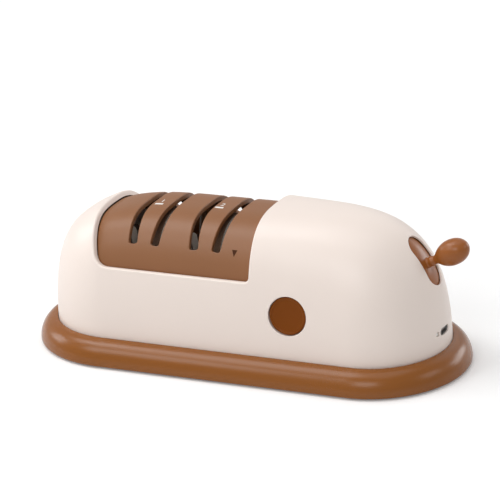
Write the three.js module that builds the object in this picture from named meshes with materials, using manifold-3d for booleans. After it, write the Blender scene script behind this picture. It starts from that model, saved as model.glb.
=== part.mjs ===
import * as THREE from 'three';
import { mergeVertices } from 'three/addons/utils/BufferGeometryUtils.js';
import Module from 'manifold-3d';

// Electric knife sharpener: a domed plastic housing on a wide base, a removable cover with two
// pairs of tilted knife slots over two abrasive wheels, a side button and a lever at the nose.
// Millimetres. +X runs along the body to the lever, -Y is the front, +Z is up.

const wasm = await Module();
wasm.setup();

// Fits shared by all pieces
const gap = 0.3;
const overrun = 5;

// Base tray
const baseLength = 240;
const baseWidth = 102.7;
const baseTop = 13.8;
const footStand = 0.8;
const bullnoseWidth = 10;
const bottomRound = 1.4;
const baseLeftEnd = { length: 52.5, power: 2 };
const baseRightEnd = { length: 47.3, power: 2 };
const trayFloor = 3.6;
const seatDepth = 1.5;

// Housing
const housingRise = 69.1;
const housingWall = 3;
const planLeftEnd = { length: 44, power: 2 };
const planRightEnd = { length: 39.4, power: 2 };
const crownLeftEnd = { length: 90, power: 3.18 };
const crownRightEnd = { length: 71.1, power: 2.91 };
const middleSectionPower = 3.13;
const leftSectionPower = 2.06;
const rightSectionPower = 1.83;
const rightBlendLength = 94;
const leftBlendLength = 40;
const crest = baseTop + housingRise;
const housingHalfLength = baseLength / 2 - bullnoseWidth;
const housingHalfWidth = baseWidth / 2 - bullnoseWidth;

// Saddle opening in the housing
const saddleRightShare = 0.1545;
const saddleRight = saddleRightShare * housingHalfLength;
const saddleLeftShare = -0.6382;
const saddleLeftFoot = saddleLeftShare * housingHalfLength;
const saddleLeftLean = 0.28;
const sillDrop = 30.3;
const saddleSill = crest - sillDrop;
const saddleLeftRound = 6;
const saddleRightRound = 2.5;

// Slot cover
const coverInset = 3.5;
const coverWall = 2.2;
const coverSkirtDepth = 5.4;
const coverSkirtBottom = saddleSill - coverSkirtDepth;
const slotWidth = 4.9;
const slotWallDepth = 3.8;
const slotWallThickness = 1;
const slotEndDrop = 18.5;
const slotMeasureDrop = 17.9;
const slotEnd = crest - slotEndDrop;
const slotMeasureHeight = crest - slotMeasureDrop;
const slotLeanDegrees = 6.5;
const slotHalfSpread = 6.25;
const coarsePairShare = -0.4091;
const coarsePairX = coarsePairShare * housingHalfLength;
const finePairShare = -0.0918;
const finePairX = finePairShare * housingHalfLength;

// Deck of the chassis, and the spindle midway between it and the cover
const chassisBottom = 24;
const chassisFloor = 2.2;
const deckTop = chassisBottom + chassisFloor;
const coverUnderside = crest - coverInset - coverWall;
const spindleSink = 0.1;
const wheelRoom = 3.5;
const spindleHeight = (coverUnderside + deckTop) / 2 - spindleSink;
const wheelRadius = (coverUnderside - deckTop) / 2 - wheelRoom;

// Spindle, wheels and drive
const spindleRadius = 2.5;
const wheelRimHalf = 3.3;
const wheelHubHalf = 7.2;
const wheelConeStart = 8;
const hubFlangeRadius = 9;
const spacerWall = 2;
const bearingRadius = 8;
const bearingWidth = 5;
const leftBearingShare = -0.6182;
const leftBearingX = leftBearingShare * housingHalfLength;
const rightBearingShare = 0.1091;
const rightBearingX = rightBearingShare * housingHalfLength;
const spindleLeftTail = 1.5;
const couplerRadius = 6;
const couplerLength = 12;
const motorGap = 3.5;
const motorFront = rightBearingX + bearingWidth / 2 + couplerLength + motorGap;
const motorRadiusShare = 0.4353;
const motorRadius = motorRadiusShare * housingHalfWidth;
const noseRoom = 40;
const motorLength = housingHalfLength - motorFront - noseRoom;
const motorBack = motorFront + motorLength;
const motorRound = 2;
const motorBossRadius = 6;
const motorBossLength = 2.2;
const motorShaftRadius = 1.6;
const motorShaftDepth = 8;

// Chassis that carries the wheels and the motor
const chassisWall = 2;
const troughRoom = 8.95;
const troughHalfWidth = housingHalfWidth - troughRoom;
const troughRound = 6;
const ledgeHeight = 2.2;
const motorDeckRoom = 14.35;
const motorDeckHalf = housingHalfWidth - motorDeckRoom;
const motorDeckReach = 8;
const motorDeckEnd = motorBack + motorDeckReach;
const bearingWallRadius = 10.6;
const guideWallDrop = 2.1;
const guideWallTop = spindleHeight - guideWallDrop;
const guideWallHalf = troughHalfWidth - chassisWall;
const saddleBlockWidth = 4;
const saddleBlockDrop = 6.6;
const saddleBlockTop = spindleHeight - saddleBlockDrop;
const saddleBlockInset = 5;
const postRadius = 4;
const rightPostReach = 3;
const rightPost = { x: motorBack + rightPostReach, y: motorRadius };

// Steel blade guides beside the slots
const guideThickness = 0.8;
const guideOffset = 9;
const guideLift = 6.8;
const guideBottom = deckTop + guideLift;
const guideBendRise = 4.4;
const guideBend = spindleHeight + guideBendRise;
const guideTopDrop = 13.1;
const guideTop = crest - guideTopDrop;
const guideTabRoom = 7.8;
const guideTabOuter = troughHalfWidth - guideTabRoom;
const guideTabWidth = 7;
const guideTabInner = guideTabOuter - guideTabWidth;
const guideTabLength = 27.8;
const guideWebTop = guideTop - guideTabLength;
const guideRound = 4;
const guideWallOffset = guideOffset + guideThickness + gap + chassisWall / 2;

// Left chassis posts, between the trough's end wall and the first guide wall
const troughInnerEnd = leftBearingX - bearingWidth / 2 + chassisWall;
const firstGuideWall = coarsePairX - guideWallOffset - chassisWall / 2;
const leftPostShare = 0.570652;
const leftPostInset = 6.9;
const leftPost = {
  x: troughInnerEnd + leftPostShare * (firstGuideWall - troughInnerEnd),
  y: troughHalfWidth - leftPostInset,
};

// Motor clamp
const clampThickness = 1.2;
const clampWidth = 8;
const clampEar = 7;
const clampShare = 0.65;

// Battery cells, boards and charging port
const cellRadius = 9.2;
const cellLength = 65;
const cellStartShare = -0.5091;
const cellStart = cellStartShare * housingHalfLength;
const cellEnd = cellStart + cellLength;
const cellCapRadius = 3.2;
const cellCapHeight = 1.2;
const cellRibWidth = 1.6;
const cellRibHeight = 9.6;
const boardThickness = 1.6;
const mainBoardRoom = 46;
const mainBoardGap = 11;
const mainBoard = {
  start: cellEnd + mainBoardGap,
  end: housingHalfLength - mainBoardRoom,
  half: 16,
  lift: 3,
};
const mainBoardChip = { length: 12, half: 6, height: 3 };
const portHeight = 23.7;
const portOffset = -2.6;
const portWidth = 9;
const portThickness = 3.3;
const portDepth = 7.4;
const portShell = 0.4;
const portTongue = 0.8;
const portSetback = 0.5;
const lampOffset = -9.9;
const lampHeight = 23.7;
const lampRadius = 1;
const chargeBoardReach = 26;
const chargeBoardSetback = 6.5;
const chargeBoard = {
  start: housingHalfLength - chargeBoardReach,
  end: housingHalfLength - chargeBoardSetback,
  left: -13.5,
  right: 8.5,
};
const chargePostSetback = 21;
const chargePost = { x: housingHalfLength - chargePostSetback, half: 6, radius: 2.6 };

// Side button
const buttonShare = 0.3509;
const buttonX = buttonShare * housingHalfLength;
const buttonHeight = 37.1;
const buttonRadius = 10.1;
const buttonInset = 0.7;
const buttonDepth = 4.6;
const buttonTravel = 1.5;
const buttonStemRadius = 3;
const buttonStemShare = 0.251;
const buttonStemRoom = 5.38;
const buttonStemLength = buttonStemShare * housingHalfWidth - buttonStemRoom;
const sleeveWall = 2;
const sleeveDepth = 7.6;
const plungerRadius = 1.6;
const plungerStand = 1.8;
const plungerDepth = 2.6;
const tactBody = { half: 6, depth: 6 };
const tactBoardHalf = 8.5;

// Nose lever
const noseSetback = 9;
const noseSlotHalfLength = 14.4;
const noseSlotHalfWidth = 7.7;
const noseWall = 1;
const slideOverlap = 2;
const slideThickness = 1.8;
const slideCrossRadius = 21.8;
const leverTravelDegrees = 10;
const leverRest = { alongArc: -1.9, sunk: 2.65, riseDegrees: 26.6 };
const leverLength = 25.7;
const leverRadius = 6.8;
const fingerHalf = 1.2;
const fingerLength = 5.6;
const bracketThickness = 1.8;
const bracketHalfWidth = 13;
const bracketSpanDegrees = 26;
const slideSwitch = { halfLength: 10.5, halfWidth: 4.2, depth: 5.6, grooveDepth: 3.8, grooveHalf: 9 };

// Screws and rubber feet
const bossRadius = 4;
const bossTop = 34;
const bossBite = 1.2;
const bossSetback = 26;
const bossMiddleShare = 0.2182;
const bossStations = [
  bossSetback - housingHalfLength,
  bossMiddleShare * housingHalfLength,
  housingHalfLength - bossSetback,
];
const screwRadius = 1.2;
const screwHeadRadius = 2.9;
const screwHeadHeight = 1.8;
const screwLength = 10;
const pilotClearance = 0.3;
const footRadius = 6.5;
const footSink = 2.1;
const footSetback = { x: 21, y: 28.35 };
const footPlaces = { x: baseLength / 2 - footSetback.x, y: baseWidth / 2 - footSetback.y };

// Facet counts
const stationCount = 30;
const arcSteps = 22;
const innerStations = 18;
const innerArcSteps = 18;
const nearlyWhole = 0.9999;
const outlineSteps = 60;
const bullnoseSteps = 4;
const roundSides = 16;
const smallSides = 8;
const coverStations = 10;
const slideSteps = 12;
const crossSteps = 4;

const trayBottom = footStand;
const trayFloorTop = trayBottom + trayFloor;
const seatZ = baseTop - seatDepth;
const slotLean = Math.tan(THREE.MathUtils.degToRad(slotLeanDegrees));

// Quarter of a superellipse: 1 at the start of an end, 0 at its tip.
function roundedFall(share, power) {
  const held = Math.min(Math.max(share, 0), 1);
  return (1 - held ** power) ** (1 / power);
}

// How far a place lies into the left and right ends of a body of the given half length.
function endShares(x, halfLength, left, right, inset) {
  const rightShare = (x - (halfLength - right.length)) / (right.length - inset);
  const leftShare = (-x - (halfLength - left.length)) / (left.length - inset);
  return [leftShare, rightShare];
}

function endFall(x, halfLength, left, right, inset) {
  const [leftShare, rightShare] = endShares(x, halfLength, left, right, inset);
  return roundedFall(leftShare, left.power) * roundedFall(rightShare, right.power);
}

// Half width of the housing in plan, drawn in by an inset.
function housingHalf(x, inset) {
  const fall = endFall(x, housingHalfLength, planLeftEnd, planRightEnd, inset);
  return (housingHalfWidth - inset) * fall;
}

// Height of the housing's crown above the base, drawn in by an inset.
function housingCrown(x, inset) {
  return (housingRise - inset) * endFall(x, housingHalfLength, crownLeftEnd, crownRightEnd, inset);
}

// The cross-section is square-shouldered in the middle and rounder towards both ends.
function sectionPower(x) {
  const right = THREE.MathUtils.clamp((x - (housingHalfLength - rightBlendLength)) / rightBlendLength, 0, 1);
  const left = THREE.MathUtils.clamp((-x - (housingHalfLength - leftBlendLength)) / leftBlendLength, 0, 1);
  return middleSectionPower
    + (rightSectionPower - middleSectionPower) * right
    + (leftSectionPower - middleSectionPower) * left;
}

// Front half width of the housing surface at a height.
function housingSide(x, z, inset) {
  const power = sectionPower(x);
  const share = Math.min((z - baseTop) / housingCrown(x, inset), 1);
  return housingHalf(x, inset) * (1 - share ** power) ** (1 / power);
}

function sectionLoop(x, inset, skirt, steps) {
  const half = housingHalf(x, inset);
  const rise = housingCrown(x, inset);
  const power = sectionPower(x);
  const loop = [new THREE.Vector3(x, half, baseTop - skirt)];
  for (let i = 0; i <= steps; i += 1) {
    const angle = Math.PI * i / steps;
    const across = Math.cos(angle);
    const up = Math.max(Math.sin(angle), 0);
    const y = half * Math.sign(across) * Math.abs(across) ** (2 / power);
    loop.push(new THREE.Vector3(x, y, baseTop + rise * up ** (2 / power)));
  }
  loop.push(new THREE.Vector3(x, -half, baseTop - skirt));
  return loop;
}

// A closed geometry has its faces turned outwards.
function closedGeometry(positions, triangles) {
  const geometry = new THREE.BufferGeometry();
  geometry.setAttribute('position', new THREE.Float32BufferAttribute(positions.flatMap((p) => p.toArray()), 3));
  let volume = 0;
  for (const [a, b, c] of triangles) {
    volume += positions[a].dot(positions[b].clone().cross(positions[c]));
  }
  geometry.setIndex(triangles.flatMap(([a, b, c]) => (volume > 0 ? [a, b, c] : [a, c, b])));
  return geometry;
}

// Skin through a row of equal loops, closed by a cap at each end.
function loft(loops) {
  const count = loops[0].length;
  const positions = loops.flat();
  const triangles = [];
  for (let row = 0; row < loops.length - 1; row += 1) {
    for (let i = 0; i < count; i += 1) {
      const a = row * count + i;
      const b = row * count + (i + 1) % count;
      triangles.push([a, b, b + count], [a, b + count, a + count]);
    }
  }
  const last = (loops.length - 1) * count;
  triangles.push(...capTriangles(loops[0], 0).map(([a, b, c]) => [a, c, b]));
  triangles.push(...capTriangles(loops[loops.length - 1], last));
  return closedGeometry(positions, triangles);
}

// Triangles over a loop that keep the loop's own direction.
function capTriangles(loop, first) {
  const centre = loop.reduce((sum, p) => sum.add(p), new THREE.Vector3()).divideScalar(loop.length);
  const normal = new THREE.Vector3();
  loop.forEach((p, i) => {
    const next = loop[(i + 1) % loop.length];
    normal.add(p.clone().sub(centre).cross(next.clone().sub(centre)));
  });
  normal.normalize();
  const side = Math.abs(normal.x) < 0.9 ? new THREE.Vector3(1, 0, 0) : new THREE.Vector3(0, 1, 0);
  const u = side.clone().cross(normal).normalize();
  const v = normal.clone().cross(u);
  const flat = loop.map((p) => new THREE.Vector2(p.dot(u), p.dot(v)));
  return THREE.ShapeUtils.triangulateShape(flat, []).map(([a, b, c]) => [first + a, first + b, first + c]);
}

// Housing-shaped solid between two stations, drawn in by an inset.
function housingBody(inset, skirt, start, end, count, steps) {
  const loops = [];
  for (let i = 0; i <= count; i += 1) {
    const share = (1 - Math.cos(Math.PI * i / count)) / 2;
    loops.push(sectionLoop(start + (end - start) * share, inset, skirt, steps));
  }
  return loft(loops);
}

function wholeHousingBody(inset, skirt, count = stationCount, steps = arcSteps) {
  const reach = (housingHalfLength - inset) * nearlyWhole;
  return housingBody(inset, skirt, -reach, reach, count, steps);
}

// Base outline in plan, drawn in by an inset.
function baseOutline(inset, z) {
  const loop = [];
  const halfLength = baseLength / 2;
  for (let i = 0; i < outlineSteps; i += 1) {
    const angle = 2 * Math.PI * i / outlineSteps;
    const end = Math.cos(angle) > 0 ? baseRightEnd : baseLeftEnd;
    const across = Math.cos(angle);
    const along = Math.sin(angle);
    const straightShare = Math.sign(across) * Math.min(Math.abs(across) * outlineSteps, 1);
    const straight = (halfLength - end.length) * straightShare;
    const x = straight + (end.length - inset) * Math.sign(across) * Math.abs(across) ** (2 / end.power);
    const y = (baseWidth / 2 - inset) * Math.sign(along) * Math.abs(along) ** (2 / end.power);
    loop.push(new THREE.Vector3(x, y, z));
  }
  return loop;
}

function solidOf(geometry) {
  const bare = geometry.clone();
  bare.deleteAttribute('normal');
  bare.deleteAttribute('uv');
  const merged = mergeVertices(bare);
  const mesh = new wasm.Mesh({
    numProp: 3,
    vertProperties: new Float32Array(merged.attributes.position.array),
    triVerts: new Uint32Array(merged.index.array),
  });
  return new wasm.Manifold(mesh);
}

function geometryOf(solid) {
  const mesh = solid.getMesh();
  const geometry = new THREE.BufferGeometry();
  geometry.setAttribute('position', new THREE.BufferAttribute(new Float32Array(mesh.vertProperties), 3));
  geometry.setIndex(new THREE.BufferAttribute(new Uint32Array(mesh.triVerts), 1));
  return geometry;
}

const cut = (geometry, ...tools) => geometryOf(
  tools.reduce((solid, tool) => solid.subtract(solidOf(tool)), solidOf(geometry)),
);
const join = (geometry, ...more) => geometryOf(more.reduce((s, t) => s.add(solidOf(t)), solidOf(geometry)));
const common = (a, b) => geometryOf(solidOf(a).intersect(solidOf(b)));

// Round rod along 'x', 'y' or 'z' between two places on that axis.
function rod(axis, radius, start, end, place, sides = roundSides) {
  const geometry = new THREE.CylinderGeometry(radius, radius, end - start, sides);
  geometry.translate(0, (start + end) / 2, 0);
  if (axis === 'x') geometry.rotateZ(-Math.PI / 2);
  if (axis === 'z') geometry.rotateX(Math.PI / 2);
  return geometry.translate(place.x ?? 0, place.y ?? 0, place.z ?? 0);
}

// Turned piece: profile points are [radius, place along the axis]. Its last meridian is merged
// with its first.
function turned(profile, sides = roundSides) {
  const points = profile.map(([radius, place]) => new THREE.Vector2(radius, place));
  const geometry = new THREE.LatheGeometry(points, sides);
  geometry.deleteAttribute('normal');
  geometry.deleteAttribute('uv');
  const merged = mergeVertices(geometry);
  const p = merged.attributes.position;
  const positions = [];
  for (let i = 0; i < p.count; i += 1) positions.push(new THREE.Vector3().fromBufferAttribute(p, i));
  const triangles = [];
  for (let i = 0; i < merged.index.count; i += 3) {
    const t = [merged.index.getX(i), merged.index.getX(i + 1), merged.index.getX(i + 2)];
    if (new Set(t).size === 3) triangles.push(t);
  }
  return closedGeometry(positions, triangles);
}

// Turned about the spindle line, which runs along X.
const turnedOnSpindle = (profile, sides) => (
  turned(profile, sides).rotateZ(-Math.PI / 2).translate(0, 0, spindleHeight)
);
const turnedUpright = (profile, place, sides) => (
  turned(profile, sides).rotateX(Math.PI / 2).translate(place.x, place.y, 0)
);

// Plain tube along the spindle between two places.
function sleeveOnSpindle(inner, outer, start, end) {
  return turnedOnSpindle([[inner, start], [outer, start], [outer, end], [inner, end], [inner, start]]);
}

function block(x0, x1, y0, y1, z0, z1) {
  const geometry = new THREE.BoxGeometry(x1 - x0, y1 - y0, z1 - z0);
  return geometry.translate((x0 + x1) / 2, (y0 + y1) / 2, (z0 + z1) / 2);
}

// Closed outline from corners [u, v, round], each corner cut by a curve of its own radius.
function outlineShape(corners) {
  const shape = new THREE.Shape();
  corners.forEach(([u, v, round = 0], i) => {
    const here = new THREE.Vector2(u, v);
    const before = new THREE.Vector2(...corners[(i + corners.length - 1) % corners.length].slice(0, 2));
    const after = new THREE.Vector2(...corners[(i + 1) % corners.length].slice(0, 2));
    const enter = here.clone().add(before.sub(here).setLength(round));
    const leave = here.clone().add(after.sub(here).setLength(round));
    if (i === 0) shape.moveTo(enter.x, enter.y);
    else shape.lineTo(enter.x, enter.y);
    if (round > 0) shape.quadraticCurveTo(here.x, here.y, leave.x, leave.y);
  });
  shape.closePath();
  return shape;
}

// Outline drawn in the 'xz', 'yz' or 'xy' plane and carried along the third axis.
function slab(shape, plane, start, end, curveSegments = smallSides / 2) {
  const geometry = new THREE.ExtrudeGeometry(shape, { depth: end - start, bevelEnabled: false, curveSegments });
  const axes = {
    xz: [new THREE.Vector3(1, 0, 0), new THREE.Vector3(0, 0, 1), new THREE.Vector3(0, -1, 0), [0, end, 0]],
    yz: [new THREE.Vector3(0, 1, 0), new THREE.Vector3(0, 0, 1), new THREE.Vector3(1, 0, 0), [start, 0, 0]],
    xy: [new THREE.Vector3(1, 0, 0), new THREE.Vector3(0, 1, 0), new THREE.Vector3(0, 0, 1), [0, 0, start]],
  };
  const [u, v, w, place] = axes[plane];
  geometry.applyMatrix4(new THREE.Matrix4().makeBasis(u, v, w));
  return geometry.translate(...place);
}

const group = new THREE.Group();

const finishes = {
  cream: { color: 0xece0d8, roughness: 0.42, metalness: 0 },
  caramel: { color: 0x8a5026, roughness: 0.45, metalness: 0 },
  dark: { color: 0x2b2624, roughness: 0.7, metalness: 0 },
  steel: { color: 0xa9adb0, roughness: 0.35, metalness: 1 },
  brass: { color: 0xb08d4c, roughness: 0.4, metalness: 1 },
  abrasive: { color: 0xe6dccb, roughness: 0.9, metalness: 0 },
  rubber: { color: 0x1d1c1b, roughness: 0.85, metalness: 0 },
  board: { color: 0x1f5c3a, roughness: 0.6, metalness: 0 },
  cell: { color: 0x3f6fa8, roughness: 0.5, metalness: 0 },
  lamp: { color: 0xd8d4cc, roughness: 0.3, metalness: 0 },
};

function add(name, geometry, finish) {
  const mesh = new THREE.Mesh(geometry, new THREE.MeshStandardMaterial(finishes[finish]));
  mesh.name = name;
  group.add(mesh);
}

const mirrored = [-1, 1];

// Screw bosses stand against the inside of the housing wall.
const bossPlaces = bossStations.flatMap((x) => mirrored.map((side) => ({
  x,
  y: side * (housingHalf(x, housingWall) + bossBite - bossRadius),
})));
const deckPosts = [leftPost, rightPost].flatMap(({ x, y }) => mirrored.map((side) => ({ x, y: side * y })));
const footCentres = mirrored.flatMap((end) => mirrored.map(
  (side) => ({ x: end * footPlaces.x, y: side * footPlaces.y }),
));
const chargePosts = mirrored.map((side) => ({ x: chargePost.x, y: portOffset + side * chargePost.half }));

// Base tray: a bullnosed rim, a rebate for the housing's foot and a hollow for the electrics.
function makeBaseTray() {
  const rimWidth = bullnoseWidth - gap;
  const noseBottom = trayBottom + bottomRound;
  const loops = [baseOutline(bottomRound, trayBottom)];
  for (let i = 0; i <= bullnoseSteps; i += 1) {
    const angle = Math.PI / 2 * i / bullnoseSteps;
    const inset = rimWidth * (1 - Math.cos(angle));
    loops.push(baseOutline(inset, noseBottom + (baseTop - noseBottom) * Math.sin(angle)));
  }
  const hollowInset = bullnoseWidth + housingWall + gap;
  loops.push(baseOutline(rimWidth, seatZ));
  loops.push(baseOutline(hollowInset, seatZ));
  loops.push(baseOutline(hollowInset, trayFloorTop));
  const tray = loft(loops);
  const scallops = bossPlaces.map((p) => rod('z', bossRadius + gap, trayFloorTop, baseTop + overrun, p));
  const screwHoles = bossPlaces.map((p) => rod('z', screwRadius + pilotClearance, 0, baseTop, p, smallSides));
  const headRecess = trayBottom + screwHeadHeight + gap;
  const headHoles = bossPlaces.map((p) => rod('z', screwHeadRadius + gap, -overrun, headRecess, p, smallSides));
  const footHoles = footCentres.map((p) => rod('z', footRadius + gap, -overrun, trayBottom + footSink, p));
  const posts = deckPosts.map((p) => rod('z', postRadius, trayBottom + gap, chassisBottom, p, smallSides));
  const stands = chargePosts.map(
    (p) => rod('z', chargePost.radius, trayBottom + gap, chargeBoardZ, p, smallSides),
  );
  const ribs = cellRibs();
  const boardRibs = [mainBoard.start, mainBoard.end].map((x) => block(
    x - cellRibWidth / 2, x + cellRibWidth / 2, -mainBoard.half, mainBoard.half,
    trayBottom + gap, trayFloorTop + mainBoard.lift,
  ));
  const pilots = deckPosts.map((p) => rod(
    'z', screwRadius + pilotClearance, chassisBottom - screwLength, chassisBottom + overrun, p, smallSides,
  ));
  return cut(
    join(cut(tray, ...scallops), ...posts, ...stands, ...ribs, ...boardRibs),
    ...screwHoles, ...headHoles, ...footHoles, ...pilots,
  );
}

const cellHalfSpan = 2 * cellRadius + gap + gap;
const chargeBoardZ = portHeight - portThickness / 2 - gap - boardThickness;

// Ribs that hold the two battery cells from the sides and the ends.
function cellRibs() {
  const bottom = trayBottom + gap;
  const top = trayFloorTop + cellRibHeight;
  const sides = mirrored.map((side) => block(
    cellStart, cellEnd,
    ...[side * cellHalfSpan, side * (cellHalfSpan + cellRibWidth)].sort((a, b) => a - b),
    bottom, top,
  ));
  const ends = [[cellStart - gap - cellRibWidth, cellStart - gap], [cellEnd + cellCapHeight + gap,
    cellEnd + cellCapHeight + gap + cellRibWidth]].map(([x0, x1]) => block(
    x0, x1, -cellHalfSpan, cellHalfSpan, bottom, top,
  ));
  return [...sides, ...ends];
}

// Circle through three places on the crown, which the nose lever swings around.
const arcShares = [2.1, 1, 0.47];
function noseArc() {
  const [a, b, c] = arcShares.map((share) => {
    const x = housingHalfLength - noseSetback * share;
    return new THREE.Vector2(x, baseTop + housingCrown(x, 0));
  });
  const d = 2 * (a.x * (b.y - c.y) + b.x * (c.y - a.y) + c.x * (a.y - b.y));
  const x = (a.lengthSq() * (b.y - c.y) + b.lengthSq() * (c.y - a.y) + c.lengthSq() * (a.y - b.y)) / d;
  const z = (a.lengthSq() * (c.x - b.x) + b.lengthSq() * (a.x - c.x) + c.lengthSq() * (b.x - a.x)) / d;
  const middle = new THREE.Vector2(b.x - x, b.y - z);
  return { x, z, radius: middle.length(), angle: middle.angle() };
}
const nose = noseArc();
const noseTravel = THREE.MathUtils.degToRad(leverTravelDegrees);
const slideOuter = nose.radius - noseWall - gap;
const slotReach = Math.asin(noseSlotHalfLength / nose.radius);
const slideReach = slotReach + noseTravel + slideOverlap / nose.radius;
const slideHalf = noseSlotHalfWidth + slideOverlap;
const slideMiddle = nose.angle;

// Point on the nose's swing circle, at a radius, an angle and a place across.
function nosePoint(radius, angle, y) {
  return new THREE.Vector3(nose.x + radius * Math.cos(angle), y, nose.z + radius * Math.sin(angle));
}

// Band swept round the swing centre, crowned across like the nose.
function noseBand(outer, inner, half, reach) {
  const loops = [];
  for (let i = 0; i <= slideSteps; i += 1) {
    const angle = slideMiddle - reach + 2 * reach * i / slideSteps;
    const loop = [];
    for (let j = 0; j <= crossSteps; j += 1) {
      const y = half * (2 * j / crossSteps - 1);
      loop.push(nosePoint(outer - y * y / (2 * slideCrossRadius), angle, y));
    }
    for (let j = crossSteps; j >= 0; j -= 1) {
      const y = half * (2 * j / crossSteps - 1);
      loop.push(nosePoint(inner - y * y / (2 * slideCrossRadius), angle, y));
    }
    loops.push(loop);
  }
  return loft(loops);
}

// Outline drawn square to the nose's radius at an angle and carried outwards from a radius.
function noseStud(shape, angle, start, end, curveSegments = smallSides / 2) {
  const geometry = new THREE.ExtrudeGeometry(shape, { depth: end - start, bevelEnabled: false, curveSegments });
  const out = new THREE.Vector3(Math.cos(angle), 0, Math.sin(angle));
  const across = new THREE.Vector3(0, 1, 0);
  const along = across.clone().cross(out);
  geometry.applyMatrix4(new THREE.Matrix4().makeBasis(along, across, out));
  const foot = nosePoint(start, angle, 0);
  return geometry.translate(foot.x, foot.y, foot.z);
}

// Round-ended slot, longer along u than across v.
function roundedSlot(halfLength, halfWidth) {
  const shape = new THREE.Shape();
  const straight = halfLength - halfWidth;
  shape.absarc(straight, 0, halfWidth, -Math.PI / 2, Math.PI / 2, false);
  shape.absarc(-straight, 0, halfWidth, Math.PI / 2, 3 * Math.PI / 2, false);
  return shape;
}

// Opening over the wheels, with its left edge leaning back and its lower corners rounded.
function saddleCutter(margin, bottom) {
  const top = crest + overrun;
  const leftAt = (z) => saddleLeftFoot - (z - saddleSill) * saddleLeftLean + margin;
  const right = saddleRight - margin;
  const corners = [
    [leftAt(bottom), bottom, saddleLeftRound],
    [right, bottom, saddleRightRound],
    [right, top],
    [leftAt(top), top],
  ];
  return slab(outlineShape(corners), 'xz', -housingHalfWidth - overrun, housingHalfWidth + overrun);
}

const buttonWallY = -housingSide(buttonX, buttonHeight, 0);
const portFace = portSurface(portOffset, portHeight);

// Where the nose end meets a given place across and height.
function portSurface(y, z) {
  let low = 0;
  let high = housingHalfLength * nearlyWhole;
  for (let i = 0; i < 40; i += 1) {
    const middle = (low + high) / 2;
    const open = housingCrown(middle, 0) + baseTop > z && housingSide(middle, z, 0) > Math.abs(y);
    if (open) low = middle;
    else high = middle;
  }
  return low;
}

function makeHousing() {
  const outer = wholeHousingBody(0, seatDepth);
  const inner = wholeHousingBody(housingWall, seatDepth + overrun, innerStations, innerArcSteps);
  const bosses = bossPlaces.map((p) => rod('z', bossRadius, seatZ, bossTop, p));
  const sleeve = rod('y', buttonRadius + gap + sleeveWall, buttonWallY, buttonWallY + sleeveDepth,
    { x: buttonX, z: buttonHeight });
  const filled = common(outer, join(bosses[0], ...bosses.slice(1), sleeve));
  const legs = bossPlaces.map((p) => rod('z', bossRadius, trayFloorTop, seatZ + gap, p));
  const shell = join(cut(outer, inner), filled, ...legs);
  const buttonHole = rod('y', buttonRadius + gap, buttonWallY - overrun, buttonWallY + sleeveDepth + overrun,
    { x: buttonX, z: buttonHeight });
  const pilots = bossPlaces.map((p) => rod(
    'z', screwRadius + pilotClearance, 0, trayBottom + screwLength + gap + screwHeadHeight, p, smallSides,
  ));
  const pocket = noseBand(slideOuter + gap, slideOuter - slideThickness - overrun, slideHalf + gap,
    slideReach + noseTravel + gap / nose.radius);
  const noseSlot = noseStud(roundedSlot(noseSlotHalfLength, noseSlotHalfWidth), nose.angle,
    slideOuter - overrun, nose.radius + overrun);
  const portSlot = roundedSlot(portWidth / 2 + gap, portThickness / 2 + gap);
  const portHole = slab(portSlot, 'yz', portFace - portDepth - overrun, portFace + overrun)
    .translate(0, portOffset, portHeight);
  const lampHole = rod('x', lampRadius + gap, portFace - portDepth - overrun, portFace + overrun,
    { y: lampOffset, z: lampHeight }, smallSides);
  return cut(shell, saddleCutter(0, saddleSill), buttonHole, ...pilots, pocket, noseSlot, portHole, lampHole);
}

// Knife slot: a leaning band with a round lower end, cut across the whole cover. A margin makes it wider.
function slotCutter(pairX, side, margin = 0) {
  const half = slotWidth / 2 + margin;
  const top = crest + overrun;
  const middleAt = (z) => pairX + side * (slotHalfSpread + (z - slotMeasureHeight) * slotLean);
  const roundZ = slotEnd + slotWidth / 2;
  const shape = new THREE.Shape();
  shape.absarc(middleAt(roundZ), roundZ, half, Math.PI, 2 * Math.PI, false);
  shape.lineTo(middleAt(top) + half, top);
  shape.lineTo(middleAt(top) - half, top);
  shape.closePath();
  return slab(shape, 'xz', -housingHalfWidth, housingHalfWidth);
}

const slotSides = [[coarsePairX, -1], [coarsePairX, 1], [finePairX, -1], [finePairX, 1]];

function makeCover() {
  const start = saddleLeftFoot - overrun - saddleLeftRound;
  const end = saddleRight + overrun;
  const outer = housingBody(coverInset, seatDepth, start, end, coverStations, arcSteps);
  const inner = housingBody(coverInset + coverWall, seatDepth + overrun, start - overrun, end + overrun,
    coverStations, innerArcSteps);
  const sillHalf = housingSide(saddleRight, saddleSill, coverInset);
  const keep = common(
    saddleCutter(gap, coverSkirtBottom),
    block(start, end, -sillHalf, sillHalf, coverSkirtBottom, crest),
  );
  const deep = housingBody(coverInset + slotWallDepth, seatDepth + overrun, start - overrun, end + overrun,
    coverStations, innerArcSteps);
  const walls = slotSides.map(([x, side]) => slotCutter(x, side, slotWallThickness));
  const hollow = join(cut(inner, ...walls), deep);
  return cut(common(cut(outer, hollow), keep), ...slotSides.map(([x, side]) => slotCutter(x, side)));
}

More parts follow.
